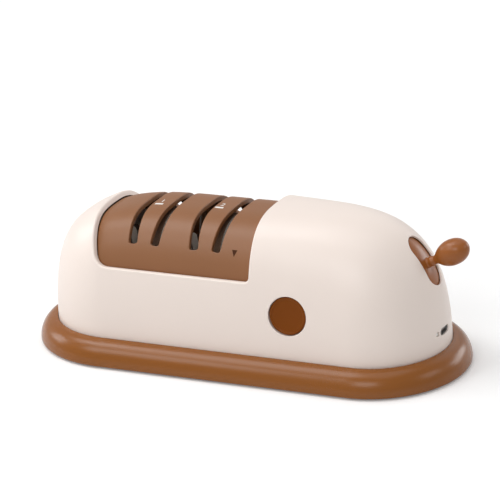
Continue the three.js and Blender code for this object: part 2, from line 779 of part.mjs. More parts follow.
// Chassis: wheel trough with bearing walls and blade guide walls, and a deck that cradles the motor.
function makeChassis() {
  const left = leftBearingX - bearingWidth / 2;
  const right = rightBearingX + bearingWidth / 2;
  const box = (margin) => [
    [left + margin, -troughHalfWidth + margin, troughRound - margin],
    [right - margin, -troughHalfWidth + margin, troughRound - margin],
    [right - margin, troughHalfWidth - margin, troughRound - margin],
    [left + margin, troughHalfWidth - margin, troughRound - margin],
  ];
  const ledgeHalf = housingSide(saddleRight, saddleSill, coverInset);
  const ledge = slab(outlineShape([[left, -ledgeHalf, troughRound], [right, -ledgeHalf, troughRound],
    [right, ledgeHalf, troughRound], [left, ledgeHalf, troughRound]]), 'xy',
  coverSkirtBottom - ledgeHeight, coverSkirtBottom);
  const hull = join(slab(outlineShape(box(0)), 'xy', chassisBottom, coverSkirtBottom), ledge);
  const hollow = slab(outlineShape(box(chassisWall)), 'xy', deckTop, coverSkirtBottom + overrun);
  const trough = cut(hull, hollow);
  const spindleLine = { z: spindleHeight };
  const bearingWalls = [left, right - bearingWidth].map((x) => join(
    block(x, x + bearingWidth, -bearingWallRadius, bearingWallRadius, deckTop - gap, spindleHeight),
    rod('x', bearingWallRadius, x, x + bearingWidth, spindleLine),
  ));
  const bearingSeats = [left, right - bearingWidth].map((x) => rod(
    'x', bearingRadius + gap, x - gap, x + bearingWidth + gap, spindleLine,
  ));
  const wallPlaces = slotSides.map(([x, side]) => x + side * guideWallOffset);
  const guideWalls = wallPlaces.map((x) => block(
    x - chassisWall / 2, x + chassisWall / 2, -guideWallHalf - gap, guideWallHalf + gap, deckTop - gap, guideWallTop,
  ));
  const notchHalf = wheelConeStart + gap;
  const notches = wallPlaces.map((x) => slab(
    outlineShape([[-notchHalf, spindleHeight - notchHalf, notchHalf / 2],
      [notchHalf, spindleHeight - notchHalf, notchHalf / 2],
      [notchHalf, guideWallTop + overrun], [-notchHalf, guideWallTop + overrun]]),
    'yz', x - chassisWall, x + chassisWall,
  ));
  const deck = block(right - gap, motorDeckEnd, -motorDeckHalf, motorDeckHalf, chassisBottom, deckTop);
  const cradles = [motorFront + saddleBlockInset, motorBack - saddleBlockInset - saddleBlockWidth].map((x) => cut(
    block(x, x + saddleBlockWidth, -motorRadius, motorRadius, deckTop - gap, saddleBlockTop),
    rod('x', motorRadius + gap, x - gap, x + saddleBlockWidth + gap, spindleLine),
  ));
  const screwHoles = deckPosts.map((p) => rod(
    'z', screwRadius + pilotClearance, chassisBottom - overrun, deckTop + overrun, p, smallSides,
  ));
  const clampHoles = clampScrewPlaces.map((p) => rod(
    'z', screwRadius + pilotClearance, chassisBottom - overrun, deckTop + overrun, p, smallSides,
  ));
  const walls = join(bearingWalls[0], bearingWalls[1], ...guideWalls.map((wall, i) => cut(wall, notches[i])));
  return cut(join(trough, walls, deck, ...cradles), ...bearingSeats, ...screwHoles, ...clampHoles);
}

// Leaf of sprung steel: a low web with two round-topped tabs that lean with their slot.
function makeBladeGuide(pairX, side) {
  const inner = (z) => guideOffset + Math.max(z - guideBend, 0) * slotLean;
  const place = (z, depth) => pairX + side * (inner(z) + depth);
  const leaf = slab(outlineShape([
    [place(guideBottom, 0), guideBottom], [place(guideBottom, guideThickness), guideBottom],
    [place(guideBend, guideThickness), guideBend], [place(guideTop, guideThickness), guideTop],
    [place(guideTop, 0), guideTop], [place(guideBend, 0), guideBend],
  ]), 'xz', -guideTabOuter, guideTabOuter);
  const window = outlineShape([
    [-guideTabInner, guideWebTop, guideRound], [guideTabInner, guideWebTop, guideRound],
    [guideTabInner, guideTop + overrun], [-guideTabInner, guideTop + overrun],
  ]);
  const profile = new THREE.Shape();
  const tabMiddle = (guideTabInner + guideTabOuter) / 2;
  const tabHalf = (guideTabOuter - guideTabInner) / 2;
  profile.moveTo(-guideTabOuter, guideBottom - gap);
  profile.lineTo(guideTabOuter, guideBottom - gap);
  profile.absarc(tabMiddle, guideTop - tabHalf, tabHalf, 0, Math.PI, false);
  profile.lineTo(-guideTabInner, guideTop - tabHalf);
  profile.absarc(-tabMiddle, guideTop - tabHalf, tabHalf, 0, Math.PI, false);
  profile.closePath();
  const reach = [pairX - wheelRadius, pairX + wheelRadius];
  return cut(common(leaf, slab(profile, 'yz', ...reach)), slab(window, 'yz', ...reach));
}

function makeWheel(x) {
  const bore = hubFlangeRadius + gap;
  const halfAt = (radius) => wheelHubHalf
    + (wheelRimHalf - wheelHubHalf) * (radius - wheelConeStart) / (wheelRadius - wheelConeStart);
  return turnedOnSpindle([
    [bore, x - halfAt(bore)], [wheelRadius, x - wheelRimHalf], [wheelRadius, x + wheelRimHalf],
    [bore, x + halfAt(bore)], [bore, x - halfAt(bore)],
  ], 2 * roundSides);
}

const onShaft = spindleRadius + gap;
const spindleEnd = rightBearingX + bearingWidth / 2 + couplerLength / 2;

function makeCoupler() {
  const start = spindleEnd - couplerLength / 2 + gap;
  const end = spindleEnd + couplerLength / 2;
  const small = motorShaftRadius + gap;
  return turnedOnSpindle([
    [onShaft, start], [couplerRadius, start], [couplerRadius, end], [small, end],
    [small, spindleEnd + gap], [onShaft, spindleEnd + gap], [onShaft, start],
  ]);
}

const shaftHoleEnd = motorFront + motorShaftDepth;

function makeMotor() {
  const small = motorShaftRadius + gap;
  const noseStart = motorFront - motorBossLength;
  return turnedOnSpindle([
    [0, shaftHoleEnd], [small, shaftHoleEnd], [small, noseStart], [motorBossRadius, noseStart],
    [motorBossRadius, motorFront], [motorRadius - motorRound, motorFront],
    [motorRadius, motorFront + motorRound], [motorRadius, motorBack - motorRound],
    [motorRadius - motorRound, motorBack], [motorBossRadius, motorBack],
    [motorBossRadius, motorBack + motorBossLength], [0, motorBack + motorBossLength],
  ]);
}

const clampX = motorFront + clampShare * motorLength;
const clampOuter = motorRadius + gap + clampThickness;
const clampScrewPlaces = mirrored.map((side) => ({ x: clampX, y: side * (clampOuter + clampEar / 2) }));

// Steel strap over the motor, with a foot on each side of the deck.
function makeClamp() {
  const inner = motorRadius + gap;
  const foot = clampOuter + clampEar;
  const shape = new THREE.Shape();
  shape.moveTo(inner, deckTop);
  shape.lineTo(foot, deckTop);
  shape.lineTo(foot, deckTop + clampThickness);
  shape.lineTo(clampOuter, deckTop + clampThickness);
  shape.lineTo(clampOuter, spindleHeight);
  shape.absarc(0, spindleHeight, clampOuter, 0, Math.PI, false);
  shape.lineTo(-clampOuter, deckTop + clampThickness);
  shape.lineTo(-foot, deckTop + clampThickness);
  shape.lineTo(-foot, deckTop);
  shape.lineTo(-inner, deckTop);
  shape.lineTo(-inner, spindleHeight);
  shape.absarc(0, spindleHeight, inner, Math.PI, 0, true);
  shape.closePath();
  const strap = slab(shape, 'yz', clampX - clampWidth / 2, clampX + clampWidth / 2, smallSides);
  const holes = clampScrewPlaces.map((p) => rod(
    'z', screwRadius + pilotClearance, deckTop - overrun, deckTop + overrun, p, smallSides,
  ));
  return cut(strap, ...holes);
}

// Pan-head screw, head up or head down, with its head's seat at a height.
function makeScrew(place, seat, up) {
  const sign = up ? 1 : -1;
  return turnedUpright([
    [0, seat - sign * screwLength], [screwRadius, seat - sign * screwLength], [screwRadius, seat],
    [screwHeadRadius, seat], [screwHeadRadius, seat + sign * screwHeadHeight / 2],
    [screwHeadRadius / 2, seat + sign * screwHeadHeight], [0, seat + sign * screwHeadHeight],
  ], place, smallSides);
}

function makeCell(y) {
  const z = trayFloorTop + gap + cellRadius;
  return turned([
    [0, cellStart], [cellRadius, cellStart], [cellRadius, cellEnd], [cellCapRadius, cellEnd],
    [cellCapRadius, cellEnd + cellCapHeight], [0, cellEnd + cellCapHeight],
  ]).rotateZ(-Math.PI / 2).translate(0, y, z);
}

function makeMainBoard() {
  const bottom = trayFloorTop + mainBoard.lift;
  const board = block(mainBoard.start - cellRibWidth, mainBoard.end + cellRibWidth, -mainBoard.half, mainBoard.half,
    bottom, bottom + boardThickness);
  const middle = (mainBoard.start + mainBoard.end) / 2;
  const chip = block(middle - mainBoardChip.length / 2, middle + mainBoardChip.length / 2,
    -mainBoardChip.half, mainBoardChip.half, bottom + gap, bottom + boardThickness + mainBoardChip.height);
  return join(board, chip);
}

function makeChargeBoard() {
  return block(chargeBoard.start, chargeBoard.end, chargeBoard.left, chargeBoard.right,
    chargeBoardZ, chargeBoardZ + boardThickness);
}

// Charging socket: a round-ended steel shell, closed at the back, with a tongue down its middle.
function makePort() {
  const front = portFace - portSetback;
  const back = front - portDepth;
  const shell = slab(roundedSlot(portWidth / 2, portThickness / 2), 'yz', back, front);
  const bore = slab(roundedSlot(portWidth / 2 - portShell, portThickness / 2 - portShell), 'yz',
    back + portShell, front + overrun);
  const tongueHalf = portWidth / 2 - portThickness / 2;
  const tongue = block(back, front - portTongue, -tongueHalf, tongueHalf, -portTongue / 2, portTongue / 2);
  return join(cut(shell, bore), tongue).translate(0, portOffset, portHeight);
}

function makeButton() {
  const centre = { x: buttonX, z: buttonHeight };
  const disc = common(
    rod('y', buttonRadius, buttonWallY - overrun, buttonWallY + buttonDepth, centre, 2 * roundSides),
    wholeHousingBody(buttonInset, seatDepth),
  );
  const stem = rod('y', buttonStemRadius, buttonWallY + buttonDepth - gap,
    buttonWallY + buttonDepth + buttonStemLength, centre);
  return join(disc, stem);
}

const stemEnd = buttonWallY + buttonDepth + buttonStemLength;
const tactFront = stemEnd + gap + plungerStand;

function makePlunger() {
  const centre = { x: buttonX, z: buttonHeight };
  return rod('y', plungerRadius, stemEnd + gap, tactFront + plungerDepth, centre, smallSides);
}

function makeTactSwitch() {
  const { half, depth } = tactBody;
  const body = block(
    buttonX - half, buttonX + half, tactFront, tactFront + depth, buttonHeight - half, buttonHeight + half,
  );
  const hole = rod('y', plungerRadius + gap, tactFront - gap, tactFront + plungerDepth + buttonTravel + gap,
    { x: buttonX, z: buttonHeight }, smallSides);
  return cut(body, hole);
}

function makeTactBoard() {
  const back = tactFront + tactBody.depth;
  return block(buttonX - tactBoardHalf, buttonX + tactBoardHalf, back, back + boardThickness,
    deckTop, buttonHeight + tactBoardHalf);
}

// Radius of the lever's knob along its axis: a slim neck that swells to a blunt egg.
const leverShares = [
  [0, 0.9], [0.055, 0.62], [0.105, 0.36], [0.165, 0.27], [0.215, 0.3], [0.29, 0.54], [0.38, 0.73],
  [0.5, 0.88], [0.63, 0.975], [0.76, 1], [0.87, 0.9], [0.945, 0.68], [0.985, 0.38],
];

function makeLever() {
  const slide = noseBand(slideOuter, slideOuter - slideThickness, slideHalf, slideReach);
  const finger = noseStud(outlineShape([[-fingerHalf, -fingerHalf], [fingerHalf, -fingerHalf],
    [fingerHalf, fingerHalf], [-fingerHalf, fingerHalf]]), nose.angle,
  slideOuter - slideThickness - fingerLength, slideOuter - slideThickness / 2);
  const profile = leverShares.map(([along, across]) => [leverRadius * across, leverLength * along]);
  const knob = turned([[0, 0], ...profile, [0, leverLength]]);
  const rootAngle = nose.angle + leverRest.alongArc / nose.radius;
  const root = nosePoint(nose.radius - leverRest.sunk, rootAngle, 0);
  knob.rotateZ(THREE.MathUtils.degToRad(leverRest.riseDegrees) - Math.PI / 2);
  knob.rotateX(Math.PI / 2);
  knob.translate(root.x, root.y, root.z);
  return join(slide, finger, knob);
}

const bracketOuter = slideOuter - slideThickness - gap - slideHalf * slideHalf / (2 * slideCrossRadius);
const bracketInner = bracketOuter - bracketThickness;

// Curved rail behind the lever's slide, with side walls up to the housing.
function makeBracket() {
  const reach = THREE.MathUtils.degToRad(bracketSpanDegrees);
  const shape = new THREE.Shape();
  const start = nose.angle - reach;
  const end = nose.angle + reach;
  shape.absarc(nose.x, nose.z, nose.radius, start, end, false);
  shape.absarc(nose.x, nose.z, bracketInner, end, start, true);
  shape.closePath();
  const solid = slab(shape, 'xz', -bracketHalfWidth, bracketHalfWidth, smallSides);
  const half = slideHalf + gap;
  const channel = new THREE.Shape();
  channel.absarc(nose.x, nose.z, nose.radius + overrun, start - reach, end + reach, false);
  channel.absarc(nose.x, nose.z, bracketOuter, end + reach, start - reach, true);
  channel.closePath();
  const inside = wholeHousingBody(housingWall + gap, seatDepth, innerStations, innerArcSteps);
  const trimmed = common(cut(solid, slab(channel, 'xz', -half, half, smallSides)), inside);
  const window = noseStud(roundedSlot(nose.radius * noseTravel + fingerHalf, fingerHalf + gap), nose.angle,
    bracketInner - overrun, nose.radius);
  return cut(trimmed, window);
}

function makeSlideSwitch() {
  const { halfLength, halfWidth, depth, grooveDepth, grooveHalf } = slideSwitch;
  const top = bracketInner * Math.cos(halfLength / bracketInner) - gap;
  const body = noseStud(outlineShape([[-halfLength, -halfWidth], [halfLength, -halfWidth],
    [halfLength, halfWidth], [-halfLength, halfWidth]]), nose.angle, top - depth, top);
  const grooveShape = roundedSlot(grooveHalf, fingerHalf + gap);
  const groove = noseStud(grooveShape, nose.angle, top - grooveDepth, top + overrun);
  return cut(body, groove);
}

const bearingStarts = [leftBearingX - bearingWidth / 2, rightBearingX - bearingWidth / 2];
const lampEnd = portSurface(lampOffset, lampHeight) - gap;

add('base_tray', makeBaseTray(), 'caramel');
footCentres.forEach((p, i) => add(`rubber_foot_${i + 1}`, turnedUpright([
  [0, 0], [footRadius - footStand, 0], [footRadius, footStand], [footRadius, trayBottom + footSink],
  [0, trayBottom + footSink],
], p), 'rubber'));
add('main_housing', makeHousing(), 'cream');
add('slot_cover', makeCover(), 'caramel');
add('chassis', makeChassis(), 'dark');
slotSides.forEach(([x, side], i) => add(`blade_guide_${i + 1}`, makeBladeGuide(x, side), 'steel'));

const spindleStart = bearingStarts[0] - spindleLeftTail;
add('spindle', rod('x', spindleRadius, spindleStart, spindleEnd, { z: spindleHeight }), 'steel');
add('coarse_wheel', makeWheel(coarsePairX), 'abrasive');
add('fine_wheel', makeWheel(finePairX), 'abrasive');
[['coarse_wheel_hub', coarsePairX], ['fine_wheel_hub', finePairX]].forEach(([name, x]) => add(
  name, sleeveOnSpindle(onShaft, hubFlangeRadius, x - wheelHubHalf, x + wheelHubHalf), 'brass',
));
const spacerRadius = onShaft + spacerWall;
[
  ['left_spacer', bearingStarts[0] + bearingWidth + gap, coarsePairX - wheelHubHalf - gap],
  ['middle_spacer', coarsePairX + wheelHubHalf + gap, finePairX - wheelHubHalf - gap],
  ['right_spacer', finePairX + wheelHubHalf + gap, bearingStarts[1] - gap],
].forEach(([name, start, end]) => add(name, sleeveOnSpindle(onShaft, spacerRadius, start, end), 'steel'));
['left_bearing', 'right_bearing'].forEach((name, i) => add(
  name, sleeveOnSpindle(onShaft, bearingRadius, bearingStarts[i], bearingStarts[i] + bearingWidth), 'steel',
));
add('shaft_coupler', makeCoupler(), 'brass');
add('motor_shaft', rod('x', motorShaftRadius, spindleEnd + 2 * gap, shaftHoleEnd - gap, { z: spindleHeight },
  smallSides), 'steel');
add('drive_motor', makeMotor(), 'steel');
add('motor_clamp', makeClamp(), 'steel');

mirrored.forEach((side, i) => add(`battery_cell_${i + 1}`, makeCell(side * (cellRadius + gap)), 'cell'));
add('control_board', makeMainBoard(), 'board');
add('charge_board', makeChargeBoard(), 'board');
add('usb_port', makePort(), 'steel');
const lampCentre = { y: lampOffset, z: lampHeight };
add('charge_lamp', rod('x', lampRadius, lampEnd - portDepth, lampEnd, lampCentre, smallSides), 'lamp');

add('power_button', makeButton(), 'caramel');
add('button_plunger', makePlunger(), 'dark');
add('button_switch', makeTactSwitch(), 'dark');
add('button_board', makeTactBoard(), 'board');

add('switch_lever', makeLever(), 'caramel');
add('lever_rail', makeBracket(), 'dark');
add('slide_switch', makeSlideSwitch(), 'dark');

bossPlaces.forEach((p, i) => add(
  `housing_screw_${i + 1}`, makeScrew(p, trayBottom + screwHeadHeight + gap, false), 'steel',
));
deckPosts.forEach((p, i) => add(`chassis_screw_${i + 1}`, makeScrew(p, deckTop, true), 'steel'));
clampScrewPlaces.forEach((p, i) => add(
  `clamp_screw_${i + 1}`, makeScrew(p, deckTop + clampThickness, true), 'steel',
));

// The lever reaches past the base, so the whole sharpener is centred on its own length.
const bounds = new THREE.Box3().setFromObject(group);
group.position.x = -(bounds.min.x + bounds.max.x) / 2;

export default group;
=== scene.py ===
from math import asin, cos, exp, hypot, pi, radians, sin, tan
import bmesh
import bpy
import numpy as np
from mathutils import Matrix, Vector


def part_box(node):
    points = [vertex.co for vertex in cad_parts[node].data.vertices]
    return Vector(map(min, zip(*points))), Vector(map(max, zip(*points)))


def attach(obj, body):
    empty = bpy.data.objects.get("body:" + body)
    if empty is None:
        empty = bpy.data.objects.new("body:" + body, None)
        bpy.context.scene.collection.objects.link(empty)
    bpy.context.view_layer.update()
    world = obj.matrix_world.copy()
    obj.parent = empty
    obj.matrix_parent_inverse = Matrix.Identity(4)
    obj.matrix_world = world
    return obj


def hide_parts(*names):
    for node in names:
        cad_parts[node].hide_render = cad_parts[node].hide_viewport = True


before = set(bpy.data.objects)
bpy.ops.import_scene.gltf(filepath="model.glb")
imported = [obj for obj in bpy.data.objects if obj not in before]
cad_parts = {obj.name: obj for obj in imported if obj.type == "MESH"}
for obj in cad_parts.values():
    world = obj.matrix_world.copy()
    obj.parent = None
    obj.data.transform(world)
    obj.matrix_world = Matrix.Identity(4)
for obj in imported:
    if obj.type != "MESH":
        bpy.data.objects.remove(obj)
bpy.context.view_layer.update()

# The sharpener's own sizes, in millimetres, as in the solid model. x runs along the body from the
# middle of the base, and ROW_SHIFT carries it to the middle of the whole sharpener.
MM = 0.001
ROW_SHIFT = -1.7535
BASE_LENGTH, BASE_WIDTH, BASE_TOP, BULLNOSE = 240.0, 102.7, 13.8, 10.0
BASE_LEFT, BASE_RIGHT = 52.5, 47.3
HALF_LENGTH, HALF_WIDTH, RISE = BASE_LENGTH / 2 - BULLNOSE, BASE_WIDTH / 2 - BULLNOSE, 69.1
# The left and right ends of the plan and of the crown, each a length and a power.
PLAN_ENDS = (44.0, 2.0), (39.4, 2.0)
CROWN_ENDS = (90.0, 3.18), (71.1, 2.91)
POWER_MIDDLE, POWER_LEFT, POWER_RIGHT = 3.13, 2.06, 1.83
BLEND_LEFT, BLEND_RIGHT = 40.0, 94.0
WALL, SEAT = 3.0, 1.5
SILL, SADDLE_RIGHT, SADDLE_FOOT, SADDLE_LEAN = 52.6, 17.0, -70.2, 0.28
SADDLE_ROUND_LEFT, SADDLE_ROUND_RIGHT = 6.0, 2.5
COVER_INSET, COVER_WALL, COVER_BOTTOM, COVER_GAP = 3.5, 2.2, 47.2, 0.16
SLOT_FLANGE, SLOT_DEPTH = 1.0, 2.6
SLOT_HALF, SLOT_END, SLOT_SPREAD, SLOT_SPREAD_AT = 2.45, 64.4, 6.25, 65
SLOT_LEAN = tan(radians(6.5))
PAIRS = (-45.0, -10.1)
BUTTON_X, BUTTON_Z, BUTTON_RADIUS, BUTTON_DISH = 38.6, 37.1, 10.1, 0.9
NOSE_X, NOSE_Z, NOSE_RADIUS = 64.4508, 37.0855, 43.5621
NOSE_ANGLE = radians(32.964)
NOSE_START = 60.0
NOSE_HALF_LENGTH, NOSE_HALF_WIDTH, NOSE_WALL = 14.4, 7.7, 1.0
SLIDE_REACH = asin(NOSE_HALF_LENGTH / NOSE_RADIUS) + radians(10) + 2 / NOSE_RADIUS
SLIDE_CROSS, SLIDE_THICK, SLIDE_GAP = 21.8, 1.8, 0.3
POCKET_REACH, POCKET_HALF = SLIDE_REACH + radians(10.5), 10.2
SPINDLE = 51.6
CENTRE = np.array([0.0, 0.0, BASE_TOP])
FAR = 40.0


# ---- the housing's surface

def rounded_fall(share, power):
    return (1 - np.clip(share, 0, 1) ** power) ** (1 / power)


def end_fall(x, ends, inset):
    left, right = [rounded_fall((way * x - (HALF_LENGTH - length)) / (length - inset), power)
                   for way, (length, power) in zip((-1, 1), ends)]
    return left * right


def section_power(x):
    right, left = [np.clip((way * x - (HALF_LENGTH - blend)) / blend, 0, 1)
                   for way, blend in ((1, BLEND_RIGHT), (-1, BLEND_LEFT))]
    return POWER_MIDDLE + (POWER_RIGHT - POWER_MIDDLE) * right + (POWER_LEFT - POWER_MIDDLE) * left


def fullness(p, inset):
    """Below 1 inside the housing's form, above 1 outside."""
    x, y, z = p.T
    half = np.maximum((HALF_WIDTH - inset) * end_fall(x, PLAN_ENDS, inset), 1e-6)
    rise = np.maximum((RISE - inset) * end_fall(x, CROWN_ENDS, inset), 1e-6)
    power = section_power(x)
    across = np.minimum(np.abs(y) / half, 50.0)
    up = np.minimum(np.abs(z - BASE_TOP) / rise, 50.0)
    return np.where(np.abs(x) < HALF_LENGTH - inset, across ** power + up ** power, 100.0)


def leave(start, rays, reach, halvings, inset):
    """Where rays from inside the housing's form leave it."""
    start, rays = np.broadcast_arrays(np.atleast_2d(start), np.atleast_2d(rays))
    low, high = np.zeros(len(rays)), np.full(len(rays), reach)
    for _ in range(halvings):
        middle = (low + high) / 2
        inside = fullness(start + rays * middle[:, None], inset) < 1
        low, high = np.where(inside, middle, low), np.where(inside, high, middle)
    return start + rays * low[:, None]


def cast(directions, inset):
    """Where rays from the middle of the base plane meet the housing's form."""
    scale = np.array([HALF_LENGTH - inset, HALF_WIDTH - inset, RISE - inset])
    return leave(CENTRE, directions * scale, 1.8, 36, inset)


def reach_skin(points, axis, inset):
    """Moves points along an axis, towards its end, until they meet the form."""
    return leave(np.array(points, dtype=float), np.array(axis, dtype=float), RISE + BASE_TOP, 40, inset)


def unit(v):
    return v / np.maximum(np.linalg.norm(v, axis=1), 1e-12)[:, None]


def surface(directions, inset):
    """Points and outward normals of the form along the rays."""
    points = cast(directions, inset)
    guide = unit(directions)
    helper = np.where(np.abs(guide[:, 2:3]) < 0.7, [[0.0, 0.0, 1.0]], [[1.0, 0.0, 0.0]])
    first = unit(np.cross(guide, helper))
    step = 2e-3
    along, over = [cast(directions + way * step, inset) - cast(directions - way * step, inset)
                   for way in (first, np.cross(guide, first))]
    normals = unit(np.cross(along, over))
    outward = np.sign(np.sum(normals * (points - CENTRE), axis=1))
    return points, normals * outward[:, None]


def columns(*rows):
    return np.stack(rows, axis=1)


def dome_grid(along, across, up):
    """Upper half of a gridded box, as ray directions and triangles that face outwards."""
    a, b, c = np.linspace(-1, 1, along + 1), np.linspace(-1, 1, across + 1), np.linspace(0, 1, up + 1)
    points, triangles, first = [], [], 0
    for us, vs, order, side in ((a, b, (0, 1, 2), 1), (a, c, (0, 2, 1), -1), (a, c, (0, 2, 1), 1),
                                (b, c, (2, 0, 1), 1), (b, c, (2, 0, 1), -1)):
        u, v = [grid.ravel() for grid in np.meshgrid(us, vs, indexing="ij")]
        points.append(columns(u, v, np.full_like(u, side))[:, order])
        row = len(vs)
        corner = first + (np.arange(len(us) - 1)[:, None] * row + np.arange(row - 1)[None, :]).ravel()
        triangles.append(columns(corner, corner + row, corner + row + 1))
        triangles.append(columns(corner, corner + row + 1, corner + 1))
        first += u.size
    points, triangles = np.concatenate(points), np.concatenate(triangles)
    _, keep, merged = np.unique(np.round(points, 6), axis=0, return_index=True, return_inverse=True)
    points, triangles = points[keep], merged.reshape(-1)[triangles]
    corners = points[triangles] * np.array([HALF_LENGTH, HALF_WIDTH, RISE])
    facing = np.cross(corners[:, 1] - corners[:, 0], corners[:, 2] - corners[:, 0])
    flip = np.sum(facing * corners.mean(axis=1), axis=1) < 0
    triangles[flip] = triangles[flip][:, ::-1]
    return points, triangles


# ---- trimming a skin with rounded rims

def surface_distance(field, points, normals):
    """The field's value measured along the surface, and its direction of growth there."""
    step = 1e-3
    here = field(points)
    slope = columns(*((field(points + step * axis) - here) / step for axis in np.eye(3)))
    slope -= normals * np.sum(slope * normals, axis=1)[:, None]
    return here / np.clip(np.linalg.norm(slope, axis=1), 0.35, None), unit(slope)


def ways_round(t):
    """The directed edges of triangles."""
    return np.concatenate([t[:, [0, 1]], t[:, [1, 2]], t[:, [2, 0]]])


class Skin:
    """A surface of the housing's form, cut along level lines of distance fields."""

    def __init__(self, grid, inset):
        self.directions, self.triangles = grid
        self.inset = inset
        self.points, self.normals = surface(self.directions, inset)

    def keep(self, chosen):
        """Keeps the chosen triangles and the vertices they use."""
        used, triangles = np.unique(self.triangles[chosen], return_inverse=True)
        self.triangles = triangles.reshape(-1, 3)
        self.directions, self.points, self.normals = [
            rows[used] for rows in (self.directions, self.points, self.normals)]

    def split(self, field, level):
        """Adds vertices where the field passes the level, so no triangle crosses it."""
        value = surface_distance(field, self.points, self.normals)[0] - level
        value[np.abs(value) < 0.02] = 0
        sign = np.sign(value)
        t = self.triangles
        edges = np.unique(np.sort(ways_round(t), axis=1), axis=0)
        edges = edges[sign[edges[:, 0]] * sign[edges[:, 1]] < 0]
        a, b = self.directions[edges.T]
        va, vb = value[edges.T]
        for _ in range(3):
            share = np.clip(va / (va - vb), 0.02, 0.98)[:, None]
            middle = a + (b - a) * share
            points, normals = surface(middle, self.inset)
            vm = surface_distance(field, points, normals)[0] - level
            on_a = np.sign(vm) == np.sign(va)
            a, va = np.where(on_a[:, None], middle, a), np.where(on_a, vm, va)
            b, vb = np.where(on_a[:, None], b, middle), np.where(on_a, vb, vm)
        first = len(self.directions)
        self.directions = np.concatenate([self.directions, middle])
        self.points, self.normals = np.concatenate([self.points, points]), np.concatenate([self.normals, normals])
        sign = np.concatenate([sign, np.zeros(len(edges))])
        lookup = {(int(p), int(q)): first + i for i, (p, q) in enumerate(edges)}
        signs = sign[t]
        crossed = (signs.max(axis=1) > 0) & (signs.min(axis=1) < 0)
        made = []
        for i, j, k in t[crossed]:
            loop = []
            for p, q in ((i, j), (j, k), (k, i)):
                loop.append(p)
                cut = lookup.get((min(p, q), max(p, q)))
                if cut is not None:
                    loop.append(cut)
            start, end = [n for n, p in enumerate(loop) if sign[p] == 0][:2]
            loop, line = loop[start:] + loop[:start], end - start
            for part in (loop[:line + 1], loop[line:] + loop[:1]):
                made.extend((part[0], part[n], part[n + 1]) for n in range(1, len(part) - 1))
        self.triangles = np.concatenate([t[~crossed], np.array(made, dtype=int).reshape(-1, 3)])

    def cut_rim(self, field, radius, side, more):
        """Cuts at the field's zero line and rings the kept side for a rounded rim."""
        levels = [radius * (1 - cos(radians(a))) for a in (0, 22.5, 45, 67.5, 90)]
        for level in [*levels, *more]:
            self.split(field, side * level)
        value = surface_distance(field, self.points, self.normals)[0][self.triangles].mean(axis=1)
        self.keep(value * side > 0)


def skin_piece(name, skin, rims, thickness, skirt, material):
    """Closed shell of a skin: its openings with rounded rims, walls through its thickness and an inner
    skin. rims are (field, radius, side, further levels)."""
    for rim in rims:
        skin.cut_rim(*rim)
    t, points, normals = skin.triangles, skin.points, skin.normals
    outer, outer_normals, rim_normals = points.copy(), normals.copy(), normals.copy()
    for field, radius, side, _ in rims:
        value, slope = surface_distance(field, points, normals)
        value, slope = value * side, slope * side
        near = value < radius
        turn = np.clip(1 - value / radius, 0, 1)
        drop = radius - np.sqrt(np.maximum(radius ** 2 - (radius * turn) ** 2, 0))
        outer[near] -= normals[near] * drop[near, None]
        lean = np.sqrt(1 - turn ** 2)[:, None] * normals - turn[:, None] * slope
        outer_normals[near] = unit(lean)[near]
        edge = value < 0.06
        rim_normals[edge] = -slope[edge]
    inner = points - normals * thickness(points)[:, None]
    for rows in (outer, inner):
        skirt(rows)
    count = len(points)
    ways = ways_round(t)
    keys, back = [ways[:, a].astype(np.int64) * count + ways[:, b] for a, b in ((0, 1), (1, 0))]
    i, j = ways[~np.isin(keys, back)].T
    walls = np.concatenate([columns(j, i, i + count), columns(j, i + count, j + count)])
    on_floor = (points[i, 2] < BASE_TOP + 0.05) & (points[j, 2] < BASE_TOP + 0.05)
    wall_i, wall_j = [np.where(on_floor[:, None], [0.0, 0.0, -1.0], rim_normals[end]) for end in (i, j)]
    corners = np.concatenate([outer_normals[t], -normals[t[:, ::-1]],
                              columns(wall_j, wall_i, wall_i), columns(wall_j, wall_i, wall_j)])
    faces = np.concatenate([t, t[:, ::-1] + count, walls])
    return mesh_piece(name, np.concatenate([outer, inner]), faces, material, corners)


# ---- distance fields of the openings

def corner_field(a, b, radius):
    """Outside distance of the corner between two edges, rounded."""
    u, v = a + radius, b + radius
    return np.minimum(np.maximum(u, v), 0) + np.hypot(np.maximum(u, 0), np.maximum(v, 0)) - radius


def opening_field(margin, bottom):
    tilt = hypot(1, SADDLE_LEAN)

    def field(p):
        x, z = p[:, 0], p[:, 2]
        left = (SADDLE_FOOT - (z - SILL) * SADDLE_LEAN - x) / tilt + margin
        right = x - SADDLE_RIGHT + margin
        below = bottom - z
        return np.maximum(corner_field(left, below, SADDLE_ROUND_LEFT),
                          corner_field(right, below, SADDLE_ROUND_RIGHT))
    return field


def slot_field(pair, side):
    start_z = SLOT_END + SLOT_HALF
    start = np.array([pair + side * (SLOT_SPREAD + (start_z - SLOT_SPREAD_AT) * SLOT_LEAN), start_z])
    lean = np.array([side * SLOT_LEAN, 1.0])
    lean /= np.linalg.norm(lean)

    def field(p):
        v = p[:, [0, 2]] - start
        below, across = np.minimum(v @ lean, 0), v @ np.array([lean[1], -lean[0]])
        return (below ** 4 + across ** 4) ** 0.25 - SLOT_HALF
    return field


def round_ended(u, v, half_length, half_width):
    over = np.maximum(np.abs(u) - (half_length - half_width), 0)
    return np.hypot(over, v) - half_width


def at_nose(p, value):
    return np.where(p[:, 0] > NOSE_START, value, FAR)


def nose_slot(p):
    along = (p[:, 2] - NOSE_Z) * cos(NOSE_ANGLE) - (p[:, 0] - NOSE_X) * sin(NOSE_ANGLE)
    return at_nose(p, round_ended(along, p[:, 1], NOSE_HALF_LENGTH, NOSE_HALF_WIDTH))


PORT_Y, PORT_Z, LAMP_Y = -2.6, 23.7, -9.9


